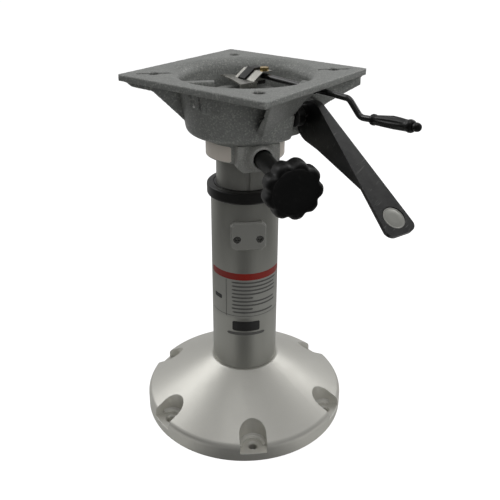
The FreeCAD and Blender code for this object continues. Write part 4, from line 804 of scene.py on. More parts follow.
def full_circle(count: int) -> list[float]:
    """Turns of so many points spread evenly round a circle, in radians."""
    return [2 * math.pi * step / count for step in range(count)]


def mesh_piece(name: str, build: bmesh.types.BMesh, smooth_angle: float = 35.0) -> bpy.types.Object:
    """Object from a mesh in hand.

    Args:
        name: name of the piece.
        build: the mesh, which is freed.
        smooth_angle: faces that meet at less than this many degrees shade as one.

    Returns:
        The object, linked to the scene.
    """
    mesh = bpy.data.meshes.new(name)
    bmesh.ops.recalc_face_normals(build, faces=build.faces)
    build.to_mesh(mesh)
    build.free()
    piece = bpy.data.objects.new(name, mesh)
    bpy.context.scene.collection.objects.link(piece)
    mesh.shade_smooth()
    mesh.set_sharp_from_angle(angle=math.radians(smooth_angle))
    return piece


def ring_mesh(rings: Sequence[Sequence[Vector]], closed_ends: bool = True) -> bmesh.types.BMesh:
    """Skin over a row of closed rings.

    Args:
        rings: the rings, with equal point counts.
        closed_ends: whether the first and the last ring are filled.

    Returns:
        The mesh.
    """
    build = bmesh.new()
    rows = [[build.verts.new(point) for point in ring] for ring in rings]
    for lower, upper in zip(rows, rows[1:]):
        count = len(lower)
        for index in range(count):
            after = (index + 1) % count
            build.faces.new((lower[index], lower[after], upper[after], upper[index]))
    if closed_ends:
        build.faces.new(rows[0])
        build.faces.new(rows[-1])
    return build


def curved_patch(angle: float, width: float, low: float, high: float, radius: float, thick: float,
                 steps: int = 24, largest_corner: float = 1.2) -> bmesh.types.BMesh:
    """Thin closed patch that lies on a round column.

    Args:
        angle: direction of its middle, in degrees.
        width: width along the curve, in millimetres.
        low: height of its lower edge, in millimetres.
        high: height of its upper edge, in millimetres.
        radius: radius of its inner face, in millimetres.
        thick: thickness, in millimetres.
        steps: faces across the width.
        largest_corner: radius of its corners where it is wide enough, in millimetres.

    Returns:
        The mesh.
    """
    half = math.degrees(width / 2 / radius)
    corner = min(largest_corner, width / 6, (high - low) / 3)
    build = bmesh.new()
    columns = []
    for step in range(steps + 1):
        share = -1 + 2 * step / steps
        inset = max(0.0, abs(share) * width / 2 - (width / 2 - corner))
        drop = corner - math.sqrt(max(corner * corner - inset * inset, 0.0))
        place = angle + share * half
        column = []
        for out in (radius, radius + thick):
            for height in (low + drop, high - drop):
                column.append(build.verts.new(polar(place, out, 0, height)))
        columns.append(column)
    for left, right in zip(columns, columns[1:]):
        build.faces.new((left[2], right[2], right[3], left[3]))
        build.faces.new((left[0], left[1], right[1], right[0]))
        build.faces.new((left[0], right[0], right[2], left[2]))
        build.faces.new((left[1], left[3], right[3], right[1]))
    for column in (columns[0], columns[-1]):
        build.faces.new((column[0], column[2], column[3], column[1]))
    return build


def bent_path(corners: Sequence[Vector], radius: float, steps: int) -> list[Vector]:
    """Line of straight runs with an arc at each inner corner.

    Args:
        corners: ends and corners of the line.
        radius: radius of the arcs.
        steps: pieces of each arc.

    Returns:
        Points along the line.
    """
    points = [corners[0]]
    for before, corner, after in zip(corners, corners[1:], corners[2:]):
        inward = (before - corner).normalized()
        outward = (after - corner).normalized()
        half_angle = inward.angle(outward) / 2
        setback = radius / math.tan(half_angle)
        centre = corner + (inward + outward).normalized() * radius / math.sin(half_angle)
        start = (corner + inward * setback - centre).normalized()
        end = (corner + outward * setback - centre).normalized()
        for step in range(steps + 1):
            points.append(centre + start.slerp(end, step / steps) * radius)
    points.append(corners[-1])
    return points


def swept_round(path: Sequence[Vector], radius: float, count: int) -> bmesh.types.BMesh:
    """Round bar along a line that stays in one upright plane.

    Args:
        path: points along the bar's middle.
        radius: radius of the bar.
        count: points round it.

    Returns:
        The mesh.
    """
    level = (path[-1] - path[0]).cross(Vector((0, 0, 1))).normalized()
    rings = []
    for index, point in enumerate(path):
        ahead = (path[min(index + 1, len(path) - 1)] - path[max(index - 1, 0)]).normalized()
        upward = level.cross(ahead)
        spokes = [level * math.cos(turn) + upward * math.sin(turn) for turn in full_circle(count)]
        rings.append([point + spoke * radius for spoke in spokes])
    return ring_mesh(rings)


def welded_copy(piece: bpy.types.Object, reach: float = 0.000002) -> bmesh.types.BMesh:
    """Mesh of one of the part's pieces, copied and with its split corners joined.

    Args:
        piece: the piece, which stays as it is.
        reach: corners closer than this, in metres, become one.

    Returns:
        The mesh, in the row frame.
    """
    plain = bpy.data.meshes.new("plain_copy")
    places = [piece.matrix_world @ corner.co for corner in piece.data.vertices]
    plain.from_pydata(places, [], [list(face.vertices) for face in piece.data.polygons])
    build = bmesh.new()
    build.from_mesh(plain)
    bpy.data.meshes.remove(plain)
    bmesh.ops.remove_doubles(build, verts=build.verts, dist=reach)
    return build


# Pieces
# Sizes in the classes are millimetres, heights are above the deck, and turns are degrees round the column.


@dataclass
class ScrewSeats:
    """Cast step round the screw seat in each pocket of the foot.

    The section is the step's closed outline as (distance from the screw, height), in millimetres.
    """

    circle: float = 101.6
    count: int = 6
    first: float = -47.6
    steps: int = 40
    half_turn: float = 96.0
    section: tuple[tuple[float, float], ...] = (
        (10.4, 9.52), (10.5, 10.35), (10.9, 10.8), (11.6, 10.95), (12.7, 11.05), (13.5, 11.5), (14.0, 12.3),
        (14.25, 13.4), (14.42, 13.4), (14.42, 9.52))

    def ring(self, angle: float, share: float) -> list[Vector]:
        """Outline of one step at a place round its screw.

        Args:
            angle: direction of the pocket, in degrees.
            share: place round the screw, from -1 to 1.

        Returns:
            Points of the outline.
        """
        turn = math.radians(180.0 + self.half_turn * share)
        return [polar(angle, self.circle + reach * math.cos(turn), reach * math.sin(turn), height)
                for reach, height in self.section]

    def build(self, wardrobe: Wardrobe) -> None:
        """Make one step for each pocket.

        Args:
            wardrobe: where the finishes come from.
        """
        for number in range(self.count):
            angle = self.first + number * 360.0 / self.count
            rings = [self.ring(angle, 2 * step / self.steps - 1) for step in range(self.steps + 1)]
            piece = mesh_piece(f"screw_seat_{number}", ring_mesh(rings), smooth_angle=40.0)
            wardrobe.fit(piece, FOOT_SATIN, Body.FOOT)


@dataclass
class SeatCasting:
    """Sand casting under the seat: true corners and gussets, soft edges and a grainy skin.

    An edge is a gusset's lower edge as corners of (distance out, height): drawn as the part has it, left and
    right as the photograph shows it. The voxel and the grain are in metres.
    """

    half: float = 88.9
    drawn_corner: float = 8.0
    shown_corner: float = 2.5
    corner_rim: float = 1.5
    least_spoke: float = 0.01
    gusset_start: float = 62.0
    gusset_half: float = 7.3
    edge_reach: float = 1.2
    knee_reach: float = 0.1
    right_turn: float = 45.0
    left_turn: float = 225.0
    drawn_edge: tuple[tuple[float, float], ...] = ((65.5, 348.5), (105.0, 377.5), (117.5, 380.0))
    left_edge: tuple[tuple[float, float], ...] = ((65.5, 352.5), (93.0, 376.3), (112.0, 381.0))
    right_edge: tuple[tuple[float, float], ...] = ((65.5, 348.5), (96.0, 366.0), (118.0, 377.3))
    voxel: float = 0.0011
    soft_share: float = 0.5
    soft_rounds: int = 2
    grain_size: float = 0.0034
    grain_depth: float = 0.0004
    face_limit: int = 185000

    def corner_place(self, place: Vector) -> Vector:
        """Place of a point once the plate's corners have their shown round.

        Args:
            place: the point in the part, in millimetres.

        Returns:
            Where it goes; points away from the corners stay.
        """
        sides = Vector((math.copysign(1, place.x), math.copysign(1, place.y)))
        centre = sides * (self.half - self.drawn_corner)
        spoke = place.xy - centre
        outside = min(spoke.x * sides.x, spoke.y * sides.y) > self.least_spoke
        if not outside or spoke.length < self.drawn_corner - self.corner_rim:
            return place
        shrunk = spoke.normalized() * (spoke.length - self.drawn_corner + self.shown_corner)
        moved = sides * (self.half - self.shown_corner) + shrunk
        return Vector((moved.x, moved.y, place.z))

    def gusset_place(self, place: Vector) -> Vector:
        """Place of a point once the gussets' lower edges have their shown outline.

        Args:
            place: the point in the part, in millimetres.

        Returns:
            Where it goes; points away from those edges stay.
        """
        for turn, shown in ((self.right_turn, self.right_edge), (self.left_turn, self.left_edge)):
            flat = Matrix.Rotation(-math.radians(turn), 3, "Z") @ place
            if flat.x < self.gusset_start or abs(flat.y) > self.gusset_half:
                continue
            if abs(flat.z - between(flat.x, self.drawn_edge)) > self.edge_reach:
                continue
            out = flat.x
            for drawn, moved in zip(self.drawn_edge[1:], shown[1:]):
                if abs(out - drawn[0]) < self.knee_reach:
                    out = moved[0]
            return polar(turn, out, flat.y, between(out, shown)) / MM
        return place

    def add_skin(self, piece: bpy.types.Object) -> None:
        """Give the casting soft edges and sand hills, which only go inwards, as modifiers.

        Args:
            piece: the casting.
        """
        grid = piece.modifiers.new("grain_grid", "REMESH")
        grid.mode = "VOXEL"
        grid.voxel_size = self.voxel
        soft = piece.modifiers.new("soft_edges", "SMOOTH")
        soft.factor = self.soft_share
        soft.iterations = self.soft_rounds
        sand = bpy.data.textures.new("sand_hills", "CLOUDS")
        sand.noise_scale = self.grain_size
        rough = piece.modifiers.new("sand_skin", "DISPLACE")
        rough.texture = sand
        rough.texture_coords = "LOCAL"
        rough.strength = self.grain_depth
        rough.mid_level = 1.0

    def settle(self, piece: bpy.types.Object) -> None:
        """Apply the modifiers, with no more triangles than the limit.

        Args:
            piece: the casting.
        """
        fewer = piece.modifiers.new("fewer_faces", "DECIMATE")
        fewer.show_viewport = False
        bpy.context.view_layer.update()
        shape = piece.evaluated_get(bpy.context.evaluated_depsgraph_get())
        triangles = sum(len(face.vertices) - 2 for face in shape.data.polygons)
        fewer.ratio = min(1.0, self.face_limit / triangles)
        fewer.show_viewport = True
        bpy.context.view_layer.update()
        shape = piece.evaluated_get(bpy.context.evaluated_depsgraph_get())
        piece.data = bpy.data.meshes.new_from_object(shape)
        piece.modifiers.clear()
        piece.data.shade_smooth()

    def build(self, wardrobe: Wardrobe, casting: bpy.types.Object) -> None:
        """Make the casting, which stands for the part's own.

        Args:
            wardrobe: where the finishes come from.
            casting: the part's casting.
        """
        build = welded_copy(casting)
        for corner in build.verts:
            corner.co = self.gusset_place(self.corner_place(corner.co / MM)) * MM
        piece = mesh_piece("cast_seat_mount", build)
        self.add_skin(piece)
        self.settle(piece)
        wardrobe.fit(piece, CAST_SKIN, Body.MOUNT, "seat_mount_casting")


@dataclass
class PaddleLever:
    """Brake lever's arm and the disc let into its tip."""

    angle: float = -18.0
    slope: float = 36.0
    hub_reach: float = 67.5
    hub_height: float = 351.5
    hub: float = 42.0
    offset: float = 33.3
    tip_offset: float = 30.8
    length: float = 148.0
    tip_length: float = 145.3
    root: float = 25.0
    widening: float = 1.13
    disc_reach: float = 128.8
    disc_radius: float = 10.8
    disc_points: int = 64

    def point(self, along: float, side: float, up: float) -> Vector:
        """Point beside the arm.

        Args:
            along: millimetres from the middle of the arm's round head to its tip.
            side: millimetres to the left.
            up: millimetres above the arm's middle face.

        Returns:
            The point in the row frame, in metres.
        """
        turn = math.radians(self.slope)
        out = self.hub_reach + along * math.cos(turn) + up * math.sin(turn)
        height = self.hub_height - along * math.sin(turn) + up * math.cos(turn)
        return polar(self.angle, out, side, height)

    def fitted(self, place: Vector) -> Vector:
        """Place of one corner once the arm has its shown length and width.

        Args:
            place: the corner in the part, in metres.

        Returns:
            Where it goes.
        """
        flat = Matrix.Rotation(-math.radians(self.angle), 3, "Z") @ place / MM
        turn = math.radians(self.slope)
        out = flat.x - self.hub_reach
        height = flat.z - self.hub_height
        along = out * math.cos(turn) - height * math.sin(turn)
        up = out * math.sin(turn) + height * math.cos(turn)
        share = min(max((along - self.root) / (self.length - self.root), 0.0), 1.0)
        along -= share * (self.length - self.tip_length)
        side = self.offset + (flat.y - self.offset) * (1 + share * (self.widening - 1))
        return self.point(along, side + share * (self.tip_offset - self.offset), up)

    def disc_profile(self) -> list[tuple[float, float]]:
        """Outline of the disc: rim, groove and flat face.

        Returns:
            Its rings as (height over the arm's middle, radius), in millimetres.
        """
        full = self.disc_radius
        face = self.hub / 2
        return [(face - 0.75, full), (face + 0.05, full), (face + 0.2, full - 0.25), (face + 0.2, full - 0.9),
                (face + 0.08, full - 1.1), (face + 0.08, full - 1.9), (face + 0.16, full - 2.1),
                (face + 0.16, 4.0), (face + 0.16, 0.5)]

    def disc_ring(self, up: float, radius: float) -> list[Vector]:
        """One ring of the disc's skin.

        Args:
            up: millimetres above the arm's middle face.
            radius: its radius, in millimetres.

        Returns:
            Points of the ring.
        """
        return [self.point(self.disc_reach + radius * math.cos(turn),
                           self.tip_offset + radius * math.sin(turn), up)
                for turn in full_circle(self.disc_points)]

    def build(self, wardrobe: Wardrobe, arm: bpy.types.Object) -> None:
        """Make the arm and the disc, which stand for the part's own.

        Args:
            wardrobe: where the finishes come from.
            arm: the part's arm.
        """
        build = welded_copy(arm)
        for corner in build.verts:
            corner.co = self.fitted(corner.co)
        piece = mesh_piece("lever_arm", build, smooth_angle=32.0)
        wardrobe.fit(piece, LEVER_BLACK, Body.LEVER, "paddle_lever")
        rings = [self.disc_ring(*row) for row in self.disc_profile()]
        disc = mesh_piece("lever_badge", ring_mesh(rings), smooth_angle=30.0)
        wardrobe.fit(disc, DISC_SILVER, Body.LEVER, "paddle_disc")


@dataclass
class TensionKnob:
    """Lobed knob that sets how freely the seat swivels, with its long stem and the boss it comes out of."""

    angle: float = -36.0
    height: float = 320.0
    face: float = 150.0
    depth: float = 22.0
    start: float = 49.0
    stem_radius: float = 8.7
    radius: float = 27.0
    lobes: int = 9
    points_per_lobe: int = 24
    hollow: float = 2.9
    hollow_sharpness: float = 1.9
    first_lobe: float = 24.0
    boss_root: float = 47.4
    boss_end: float = 60.5
    boss_gap: float = 0.7

    def profile(self) -> list[tuple[float, float, float]]:
        """Outline of the stem and the knob.

        Returns:
            Their rings as (distance out, radius, share of the lobes), in millimetres.
        """
        face = self.face
        back = face - self.depth
        stem = self.stem_radius
        full = self.radius
        return [
            (self.start, stem - 2.0, 0.0), (self.start, stem - 0.5, 0.0), (self.start + 0.5, stem, 0.0),
            (back - 12, stem - 0.4, 0.0), (back - 6, stem + 0.2, 0.0), (back - 2.5, stem + 1.8, 0.0),
            (back - 0.6, stem + 4.5, 0.0), (back + 0.3, stem + 8.0, 0.1), (back + 0.9, full - 7.5, 0.35),
            (back + 1.9, full - 3.8, 0.7), (back + 3.6, full - 1.5, 0.9), (back + 6.0, full - 0.3, 1.0),
            (back + 9.0, full, 1.0), (face - 8.5, full, 1.0), (face - 4.5, full - 0.2, 1.0),
            (face - 2.8, full - 0.8, 1.0), (face - 1.4, full - 1.8, 0.95), (face - 0.5, full - 2.9, 0.85),
            (face - 0.1, full - 3.9, 0.7), (face, full - 4.8, 0.45), (face - 0.15, full - 5.6, 0.2),
            (face - 0.6, full - 6.2, 0.0), (face - 0.95, full - 7.2, 0.0), (face - 0.95, full - 16.0, 0.0),
            (face - 0.9, 6.0, 0.0), (face - 0.9, 1.0, 0.0)]

    def boss_profile(self) -> list[tuple[float, float]]:
        """Outline of the boss, from its bore round its outside and back.

        Returns:
            Its rings as (distance out, radius), in millimetres.
        """
        bore = self.stem_radius + self.boss_gap
        root = self.boss_root
        end = self.boss_end
        return [(root, bore), (root, 16.2), (root + 0.7, 14.6), (root + 1.8, 13.5), (root + 3.6, 12.9),
                (end - 1.6, 12.3), (end - 0.5, 11.9), (end, 11.1), (end, bore + 0.6), (end - 0.6, bore)]

    def ring(self, out: float, radius: float, lobed: float = 0.0) -> list[Vector]:
        """One ring of the skin.

        Args:
            out: distance from the column's axis, in millimetres.
            radius: radius at the crests of the lobes, in millimetres.
            lobed: how deep the hollows between the lobes are, from 0 to 1.

        Returns:
            Points of the ring.
        """
        sideways = polar(self.angle, 0, 1, 0) / MM
        middle = polar(self.angle, out, 0, self.height)
        points = []
        for turn in full_circle(self.lobes * self.points_per_lobe):
            wave = 0.5 - 0.5 * math.cos(self.lobes * turn + math.radians(self.first_lobe))
            reach = radius - self.hollow * lobed * wave ** self.hollow_sharpness
            spoke = sideways * math.cos(turn) + Vector((0, 0, 1)) * math.sin(turn)
            points.append(middle + spoke * reach * MM)
        return points

    def build(self, wardrobe: Wardrobe) -> None:
        """Make the knob, which stands for the part's own, and the cast boss on the neck.

        Args:
            wardrobe: where the finishes come from.
        """
        rings = [self.ring(*row) for row in self.profile()]
        knob = mesh_piece("knob_head", ring_mesh(rings), smooth_angle=50.0)
        wardrobe.fit(knob, KNOB_BLACK, Body.KNOB, "tension_knob")
        rings = [self.ring(*row) for row in self.boss_profile()]
        skin = ring_mesh(rings + rings[:1], closed_ends=False)
        bmesh.ops.remove_doubles(skin, verts=skin.verts, dist=1e-6)
        boss = mesh_piece("neck_boss", skin, smooth_angle=40.0)
        wardrobe.fit(boss, NECK_SKIN, Body.MOUNT)


@dataclass
class ReleaseGrip:
    """Release rod with two bends, and its moulded grip with flutes, a thumb rib and an end button."""

    angle: float = -14.3
    offset: float = 33.0
    height: float = 382.0
    rod_end: float = -38.0
    rod_bend: float = 111.0
    bend: float = 126.3
    bend_radius: float = 9.0
    bend_steps: int = 9
    low: float = 367.7
    rise: float = 5.0
    rod_radius: float = 3.0
    rod_points: int = 24
    start: float = 140.0
    length: float = 46.5
    nub: float = 6.4
    grip_points: int = 48
    button_points: int = 32
    flutes: int = 8
    flute_depth: float = 0.8
    flute_start: float = 6.0
    flute_stop: float = 9.0
    flute_fade: float = 6.0
    rib_height: float = 1.1
    rib_turn: float = 78.0
    rib_sharpness: int = 10
    rib_start: float = 13.0
    rib_stop: float = 35.0
    rib_rise: float = 5.0
    rib_fall: float = 4.0

    def point(self, along: float, across: float = 0.0, up: float = 0.0) -> Vector:
        """Point beside the rod's outer run.

        Args:
            along: millimetres from the rod's second bend to its tip.
            across: millimetres to the left.
            up: millimetres above the rod's middle.

        Returns:
            The point in the row frame, in metres.
        """
        slope = math.radians(self.rise)
        out = self.bend + along * math.cos(slope) - up * math.sin(slope)
        height = self.low + along * math.sin(slope) + up * math.cos(slope)
        return polar(self.angle, out, self.offset + across, height)

    def rod(self) -> bmesh.types.BMesh:
        """Round bar with two bends.

        Returns:
            The mesh.
        """
        corners = [polar(self.angle, out, self.offset, self.height) for out in (self.rod_end, self.rod_bend)]
        corners += [self.point(along) for along in (0, self.start + self.length - self.bend)]
        path = bent_path(corners, self.bend_radius * MM, self.bend_steps)
        return swept_round(path, self.rod_radius * MM, self.rod_points)

    def sleeve_profile(self, begin: float, end: float) -> list[tuple[float, float]]:
        """Rings of the grip as (distance along the rod, radius)."""
        return [(begin, 3.1), (begin, 4.2), (begin + 0.5, 4.9), (begin + 1.4, 5.2), (begin + 3.2, 5.2),
                (begin + 3.9, 4.8), (begin + 4.6, 4.5), (begin + 8, 4.9), (begin + 15, 5.3),
                (begin + 24, 5.6), (begin + 33, 5.5), (begin + 38, 5.3), (begin + 40.2, 5.2),
                (begin + 41.0, 5.6), (begin + 42.2, 5.9), (begin + 44.0, 5.8), (begin + 45.2, 5.3),
                (end - 0.4, 4.4), (end, 3.9), (end, 2.9)]

    def button_profile(self, end: float) -> list[tuple[float, float]]:
        """Rings of the end button as (distance along the rod, radius)."""
        return [(end, 2.2), (end, 3.4), (end + 1.2, 3.9), (end + 3.0, 4.1), (end + 4.6, 3.8),
                (end + 6.0, 2.9), (end + self.nub - 0.1, 1.2)]

    def sleeve(self, begin: float, end: float) -> bmesh.types.BMesh:
        """Skin of the grip, with its flutes and its rib.

        Args:
            begin: where it starts along the rod, in millimetres.
            end: where it ends.

        Returns:
            The mesh.
        """
        rings = []
        for along, radius in self.sleeve_profile(begin, end):
            share = smooth_step((along - begin - self.flute_start) / self.flute_fade)
            share *= smooth_step((end - self.flute_stop - along) / self.flute_fade)
            rib = smooth_step((along - begin - self.rib_start) / self.rib_rise)
            rib *= smooth_step((begin + self.rib_stop - along) / self.rib_fall)
            ring = []
            for turn in full_circle(self.grip_points):
                flute = self.flute_depth * share * (0.5 - 0.5 * math.cos(self.flutes * turn))
                facing = max(0.0, math.cos(turn - math.radians(self.rib_turn)))
                reach = radius - flute + self.rib_height * rib * facing ** self.rib_sharpness
                ring.append(self.point(along, reach * math.cos(turn), reach * math.sin(turn)))
            rings.append(ring)
        return ring_mesh(rings)

    def button(self, end: float) -> bmesh.types.BMesh:
        """Skin of the button at the grip's end."""
        return ring_mesh([[self.point(along, radius * math.cos(turn), radius * math.sin(turn))
                           for turn in full_circle(self.button_points)]
                          for along, radius in self.button_profile(end)])

    def build(self, wardrobe: Wardrobe) -> None:
        """Make the rod, the grip and its end button, which stand for the part's own.

        Args:
            wardrobe: where the finishes come from.
        """
        rod = mesh_piece("crank_rod", self.rod(), smooth_angle=60.0)
        wardrobe.fit(rod, ROD_BLACK, Body.RELEASE, "release_rod")
        begin = (self.start - self.bend) / math.cos(math.radians(self.rise))
        end = begin + self.length
        grip = mesh_piece("grip_sleeve", self.sleeve(begin, end), smooth_angle=40.0)
        wardrobe.fit(grip, GRIP_BLACK, Body.RELEASE, "release_grip")
        cap = mesh_piece("grip_end_button", self.button(end), smooth_angle=50.0)
        wardrobe.fit(cap, GRIP_BLACK, Body.RELEASE)


@dataclass(frozen=True)
class PrintedField:
    """One field of the film: turn in degrees from the film's middle, sizes and heights in millimetres."""

    name: str
    turn: float
    width: float
    low: float
    high: float
    finish: Finish
    layer: int = 1


@dataclass
class ColumnFilm:
    """Printed film on the tube as plain fields of colour.

    The bars are thin lines one under another, as (turn, width).
    """

    angle: float = -50.0
    radius: float = 36.5
    gap: float = 0.01
    thick: float = 0.07
    bars_top: float = 173.4
    bar_pitch: float = 4.6
    bar_height: float = 2.0
    bars: tuple[tuple[float, float], ...] = (
        (18.0, 56.0), (16.0, 53.0), (17.0, 54.0), (17.0, 54.0), (-7.0, 24.0), (16.0, 52.0), (17.0, 54.0),
        (-7.0, 24.0), (15.0, 50.0))

    def fields(self) -> list[PrintedField]:
        """Fields of the film.

        Returns:
            The fields in the order in which they are laid.
        """
        bars = []
        for row, (turn, width) in enumerate(self.bars):
            high = self.bars_top - row * self.bar_pitch
            bars.append(PrintedField(f"film_bar_{row}", turn, width, high - self.bar_height, high, FILM_GREY))
        return [
            PrintedField("film_band", 0, 94, 175.7, 183.6, FILM_RED, layer=0),
            PrintedField("film_field", 0, 94, 128.0, 175.6, FILM_PALE, layer=0),
            PrintedField("film_left_rule", -36, 0.7, 129, 175, FILM_GREY),
            PrintedField("film_lower_rule", 0, 93, 130.6, 131.2, FILM_GREY),
            *bars,
            PrintedField("film_left_field", -55, 12, 148, 153, FILM_DARK),
            PrintedField("film_lower_field", 0, 31, 112, 124, FILM_DARK),
            PrintedField("film_lower_bar", 0, 44, 106.5, 110, FILM_GREY),
        ]

    def build(self, wardrobe: Wardrobe) -> None:
        """Make the fields.

        Args:
            wardrobe: where the finishes come from.
        """
        for field in self.fields():
            turn = self.angle + field.turn
            inner = self.radius + self.gap + field.layer * self.thick
            skin = curved_patch(turn, field.width, field.low, field.high, inner, self.thick)
            wardrobe.fit(mesh_piece(field.name, skin), field.finish, Body.FOOT)


@dataclass
class NeckPlates:
    """Two blank plates on the swivel's neck, as (name, turn, width)."""

    angle: float = -52.8
    low: float = 309.8
    high: float = 326.0
    radius: float = 41.01
    thick: float = 0.12
    plates: tuple[tuple[str, float, float], ...] = (
        ("neck_plate_left", -50.0, 44.0), ("neck_plate_right", 68.0, 26.0))

    def build(self, wardrobe: Wardrobe) -> None:
        """Make the plates.

        Args:
            wardrobe: where the finishes come from.
        """
        for name, turn, width in self.plates:
            skin = curved_patch(self.angle + turn, width, self.low, self.high, self.radius, self.thick)
            wardrobe.fit(mesh_piece(name, skin), FILM_WHITE, Body.MOUNT)


# Studio


@dataclass(frozen=True)
class SoftLamp:
    """Rectangular lamp: turn and rise of its direction in degrees, distance and sizes in metres."""

    name: str
    turn: float
    rise: float
    distance: float
    width: float
    height: float
    watts: float
    mirrored: bool = True

    def build(self, aim: Vector) -> None:
        """Hang the lamp.

        Args:
            aim: point that it faces, in metres.
        """
        slope = math.radians(self.rise)
        towards = polar(self.turn, 1000, 0, 0) * math.cos(slope) + Vector((0, 0, math.sin(slope)))
        place = aim + towards * self.distance
        data = bpy.data.lights.new(self.name, "AREA")
        data.shape = "RECTANGLE"
        data.size = self.width
        data.size_y = self.height
        data.energy = self.watts
        lamp = bpy.data.objects.new(self.name, data)
        lamp.location = place
        lamp.rotation_euler = (aim - place).to_track_quat("-Z", "Y").to_euler()
        lamp.visible_camera = False
        lamp.visible_glossy = self.mirrored
        bpy.context.scene.collection.objects.link(lamp)


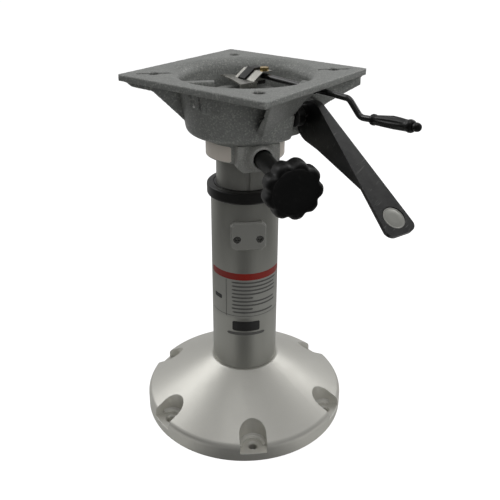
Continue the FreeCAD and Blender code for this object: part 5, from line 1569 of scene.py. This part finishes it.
@dataclass
class Studio:
    """Pale floor, white surroundings, soft lamps and the camera.

    The camera's eye is in millimetres, its angles in degrees, and its focal length, frame and centre in
    pixels of the photograph. The floor throws more light back near the part in a wedge towards the camera,
    and behind the part: the wedge is a range of cosines, close and behind are ranges of metres.
    """

    eye: Vector = Vector((409.42, -537.85, 534.20))
    yaw: float = 36.6234
    pitch: float = 23.1979
    roll: float = 0.4063
    focal: float = 681.015
    frame_width: float = 500.0
    centre_across: float = 252.076
    centre_down: float = 208.191
    floor_half: float = 9.0
    floor_paper: Colour = (0.62, 0.62, 0.62)
    floor_glow: float = 0.85
    floor_front: Colour = (0.10, 0.10, 0.10)
    floor_back: Colour = (0.8, 0.8, 0.79)
    nearest: float = 0.01
    front_wedge: tuple[float, float] = (-0.985, -0.80)
    close_span: tuple[float, float] = (0.55, 0.2)
    behind_span: tuple[float, float] = (-0.1, 0.7)
    white: Colour = (1.0, 1.0, 1.0)
    air_front: float = 0.05
    air_back: float = 0.5
    air_span: tuple[float, float] = (-0.3, 0.85)
    bright_behind: float = 0.85
    bright_above: float = 0.53
    lamp_aim: Vector = Vector((0, 0, 0.2))
    lamps: tuple[SoftLamp, ...] = (
        SoftLamp("lamp_right", turn=80.0, rise=33.0, distance=1.4, width=0.6, height=0.7, watts=2.0),
        SoftLamp("lamp_left", turn=-172.0, rise=38.0, distance=1.4, width=0.7, height=0.9, watts=3.0),
        SoftLamp("lamp_above", turn=-52.0, rise=80.0, distance=1.3, width=0.7, height=0.7, watts=1.1),
        SoftLamp("lamp_front", turn=-26.0, rise=24.0, distance=1.5, width=2.2, height=1.6, watts=10.8,
                 mirrored=False),
    )

    def build(self) -> None:
        """Make all of it."""
        self.build_floor()
        self.build_world()
        for lamp in self.lamps:
            lamp.build(self.lamp_aim)
        self.build_camera()
        bpy.context.scene.view_settings.view_transform = "Standard"
        LOG.info("studio built")

    def away(self) -> Vector:
        """Level direction from the camera to the pedestal."""
        return Vector((-self.eye.x, -self.eye.y, 0)).normalized()

    def build_floor(self) -> None:
        """Lay the floor."""
        build = bmesh.new()
        corners = ((-1, -1), (1, -1), (1, 1), (-1, 1))
        build.faces.new([build.verts.new((x * self.floor_half, y * self.floor_half, 0)) for x, y in corners])
        floor = mesh_piece("floor", build)
        floor.data.materials.append(self.floor_material())

    def floor_material(self) -> bpy.types.Material:
        """Paper that looks white to the camera and keeps the shadow; what it throws back is dark in front.

        Returns:
            The material.
        """
        material = bpy.data.materials.new("floor_paper")
        material.use_nodes = True
        material.node_tree.nodes.clear()
        sheet = NodeSheet(material.node_tree)
        paper = sheet.made("ShaderNodeBsdfDiffuse", 0, {"Color": self.floor_paper})
        glow = sheet.made("ShaderNodeEmission", 0, {"Color": self.white, "Strength": self.floor_glow})
        shown = sheet.made("ShaderNodeAddShader", 0, {0: paper, 1: glow})
        place = sheet.place()
        behind = sheet.dot(place, self.away())
        reach = sheet.math("MAXIMUM", sheet.length(place), self.nearest)
        beside = sheet.span(sheet.math("DIVIDE", behind, reach), *self.front_wedge)
        close = sheet.times(beside, sheet.span(reach, *self.close_span))
        pale = sheet.math("MAXIMUM", close, sheet.span(behind, *self.behind_span))
        tone = sheet.blend(pale, self.floor_front, self.floor_back)
        thrown = sheet.made("ShaderNodeBsdfDiffuse", 0, {"Color": tone})
        seen = sheet.add("ShaderNodeLightPath").outputs["Is Camera Ray"]
        surface = sheet.made("ShaderNodeMixShader", 0, {0: seen, 1: thrown, 2: shown})
        sheet.feed(sheet.add("ShaderNodeOutputMaterial").inputs["Surface"], surface)
        return material

    def build_world(self) -> None:
        """Surroundings that look white, and whose light is bright behind and above, dim in front."""
        world = bpy.data.worlds.new("studio_air")
        world.use_nodes = True
        world.node_tree.nodes.clear()
        sheet = NodeSheet(world.node_tree)
        bright = (self.away() * self.bright_behind + Vector((0, 0, self.bright_above))).normalized()
        facing = sheet.dot(sheet.add("ShaderNodeTexCoord").outputs["Generated"], bright)
        soft = sheet.span(facing, *self.air_span, self.air_front, self.air_back)
        seen = sheet.add("ShaderNodeLightPath").outputs["Is Camera Ray"]
        strength = sheet.math("MAXIMUM", seen, soft)
        air = sheet.made("ShaderNodeBackground", 0, {"Color": self.white, "Strength": strength})
        sheet.feed(sheet.add("ShaderNodeOutputWorld").inputs["Surface"], air)
        bpy.context.scene.world = world

    def build_camera(self) -> None:
        """Camera at the photograph's place, angle and frame."""
        yaw, pitch, roll = (math.radians(angle) for angle in (self.yaw, self.pitch, self.roll))
        ahead = Vector((-math.sin(yaw) * math.cos(pitch), math.cos(yaw) * math.cos(pitch), -math.sin(pitch)))
        right = Vector((math.cos(yaw), math.sin(yaw), 0))
        up = right.cross(ahead)
        turned_right = right * math.cos(roll) + up * math.sin(roll)
        turned_up = up * math.cos(roll) - right * math.sin(roll)
        data = bpy.data.cameras.new("camera")
        data.sensor_fit = "HORIZONTAL"
        data.sensor_width = 36.0
        data.lens = self.focal / self.frame_width * data.sensor_width
        data.shift_x = 0.5 - self.centre_across / self.frame_width
        data.shift_y = self.centre_down / self.frame_width - 0.5
        data.clip_start = 0.01
        data.clip_end = 60.0
        camera = bpy.data.objects.new("camera", data)
        axes = Matrix((turned_right, turned_up, -ahead)).transposed()
        camera.matrix_world = Matrix.Translation(self.eye * MM) @ axes.to_4x4()
        bpy.context.scene.collection.objects.link(camera)
        bpy.context.scene.camera = camera


def clear_scene() -> None:
    """Take out the objects that a new file starts with."""
    for item in list(bpy.data.objects):
        bpy.data.objects.remove(item)


def slot_of_nodes(record: dict) -> dict[str, str]:
    """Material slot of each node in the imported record."""
    return {part["node"]: part["material_slot"] for part in record["subparts"]}


def main() -> None:
    """Build the scene."""
    logging.basicConfig(level=logging.INFO, format="%(name)s: %(message)s")
    clear_scene()
    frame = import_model()
    wardrobe = Wardrobe(Effects())
    wardrobe.dress_frame(frame["nodes"], slot_of_nodes(frame["record"]))
    ScrewSeats().build(wardrobe)
    SeatCasting().build(wardrobe, frame["nodes"]["seat_mount_casting"])
    PaddleLever().build(wardrobe, frame["nodes"]["paddle_lever"])
    TensionKnob().build(wardrobe)
    ReleaseGrip().build(wardrobe)
    ColumnFilm().build(wardrobe)
    NeckPlates().build(wardrobe)
    Studio().build()
    bpy.context.view_layer.update()


if __name__ == "__main__":
    main()
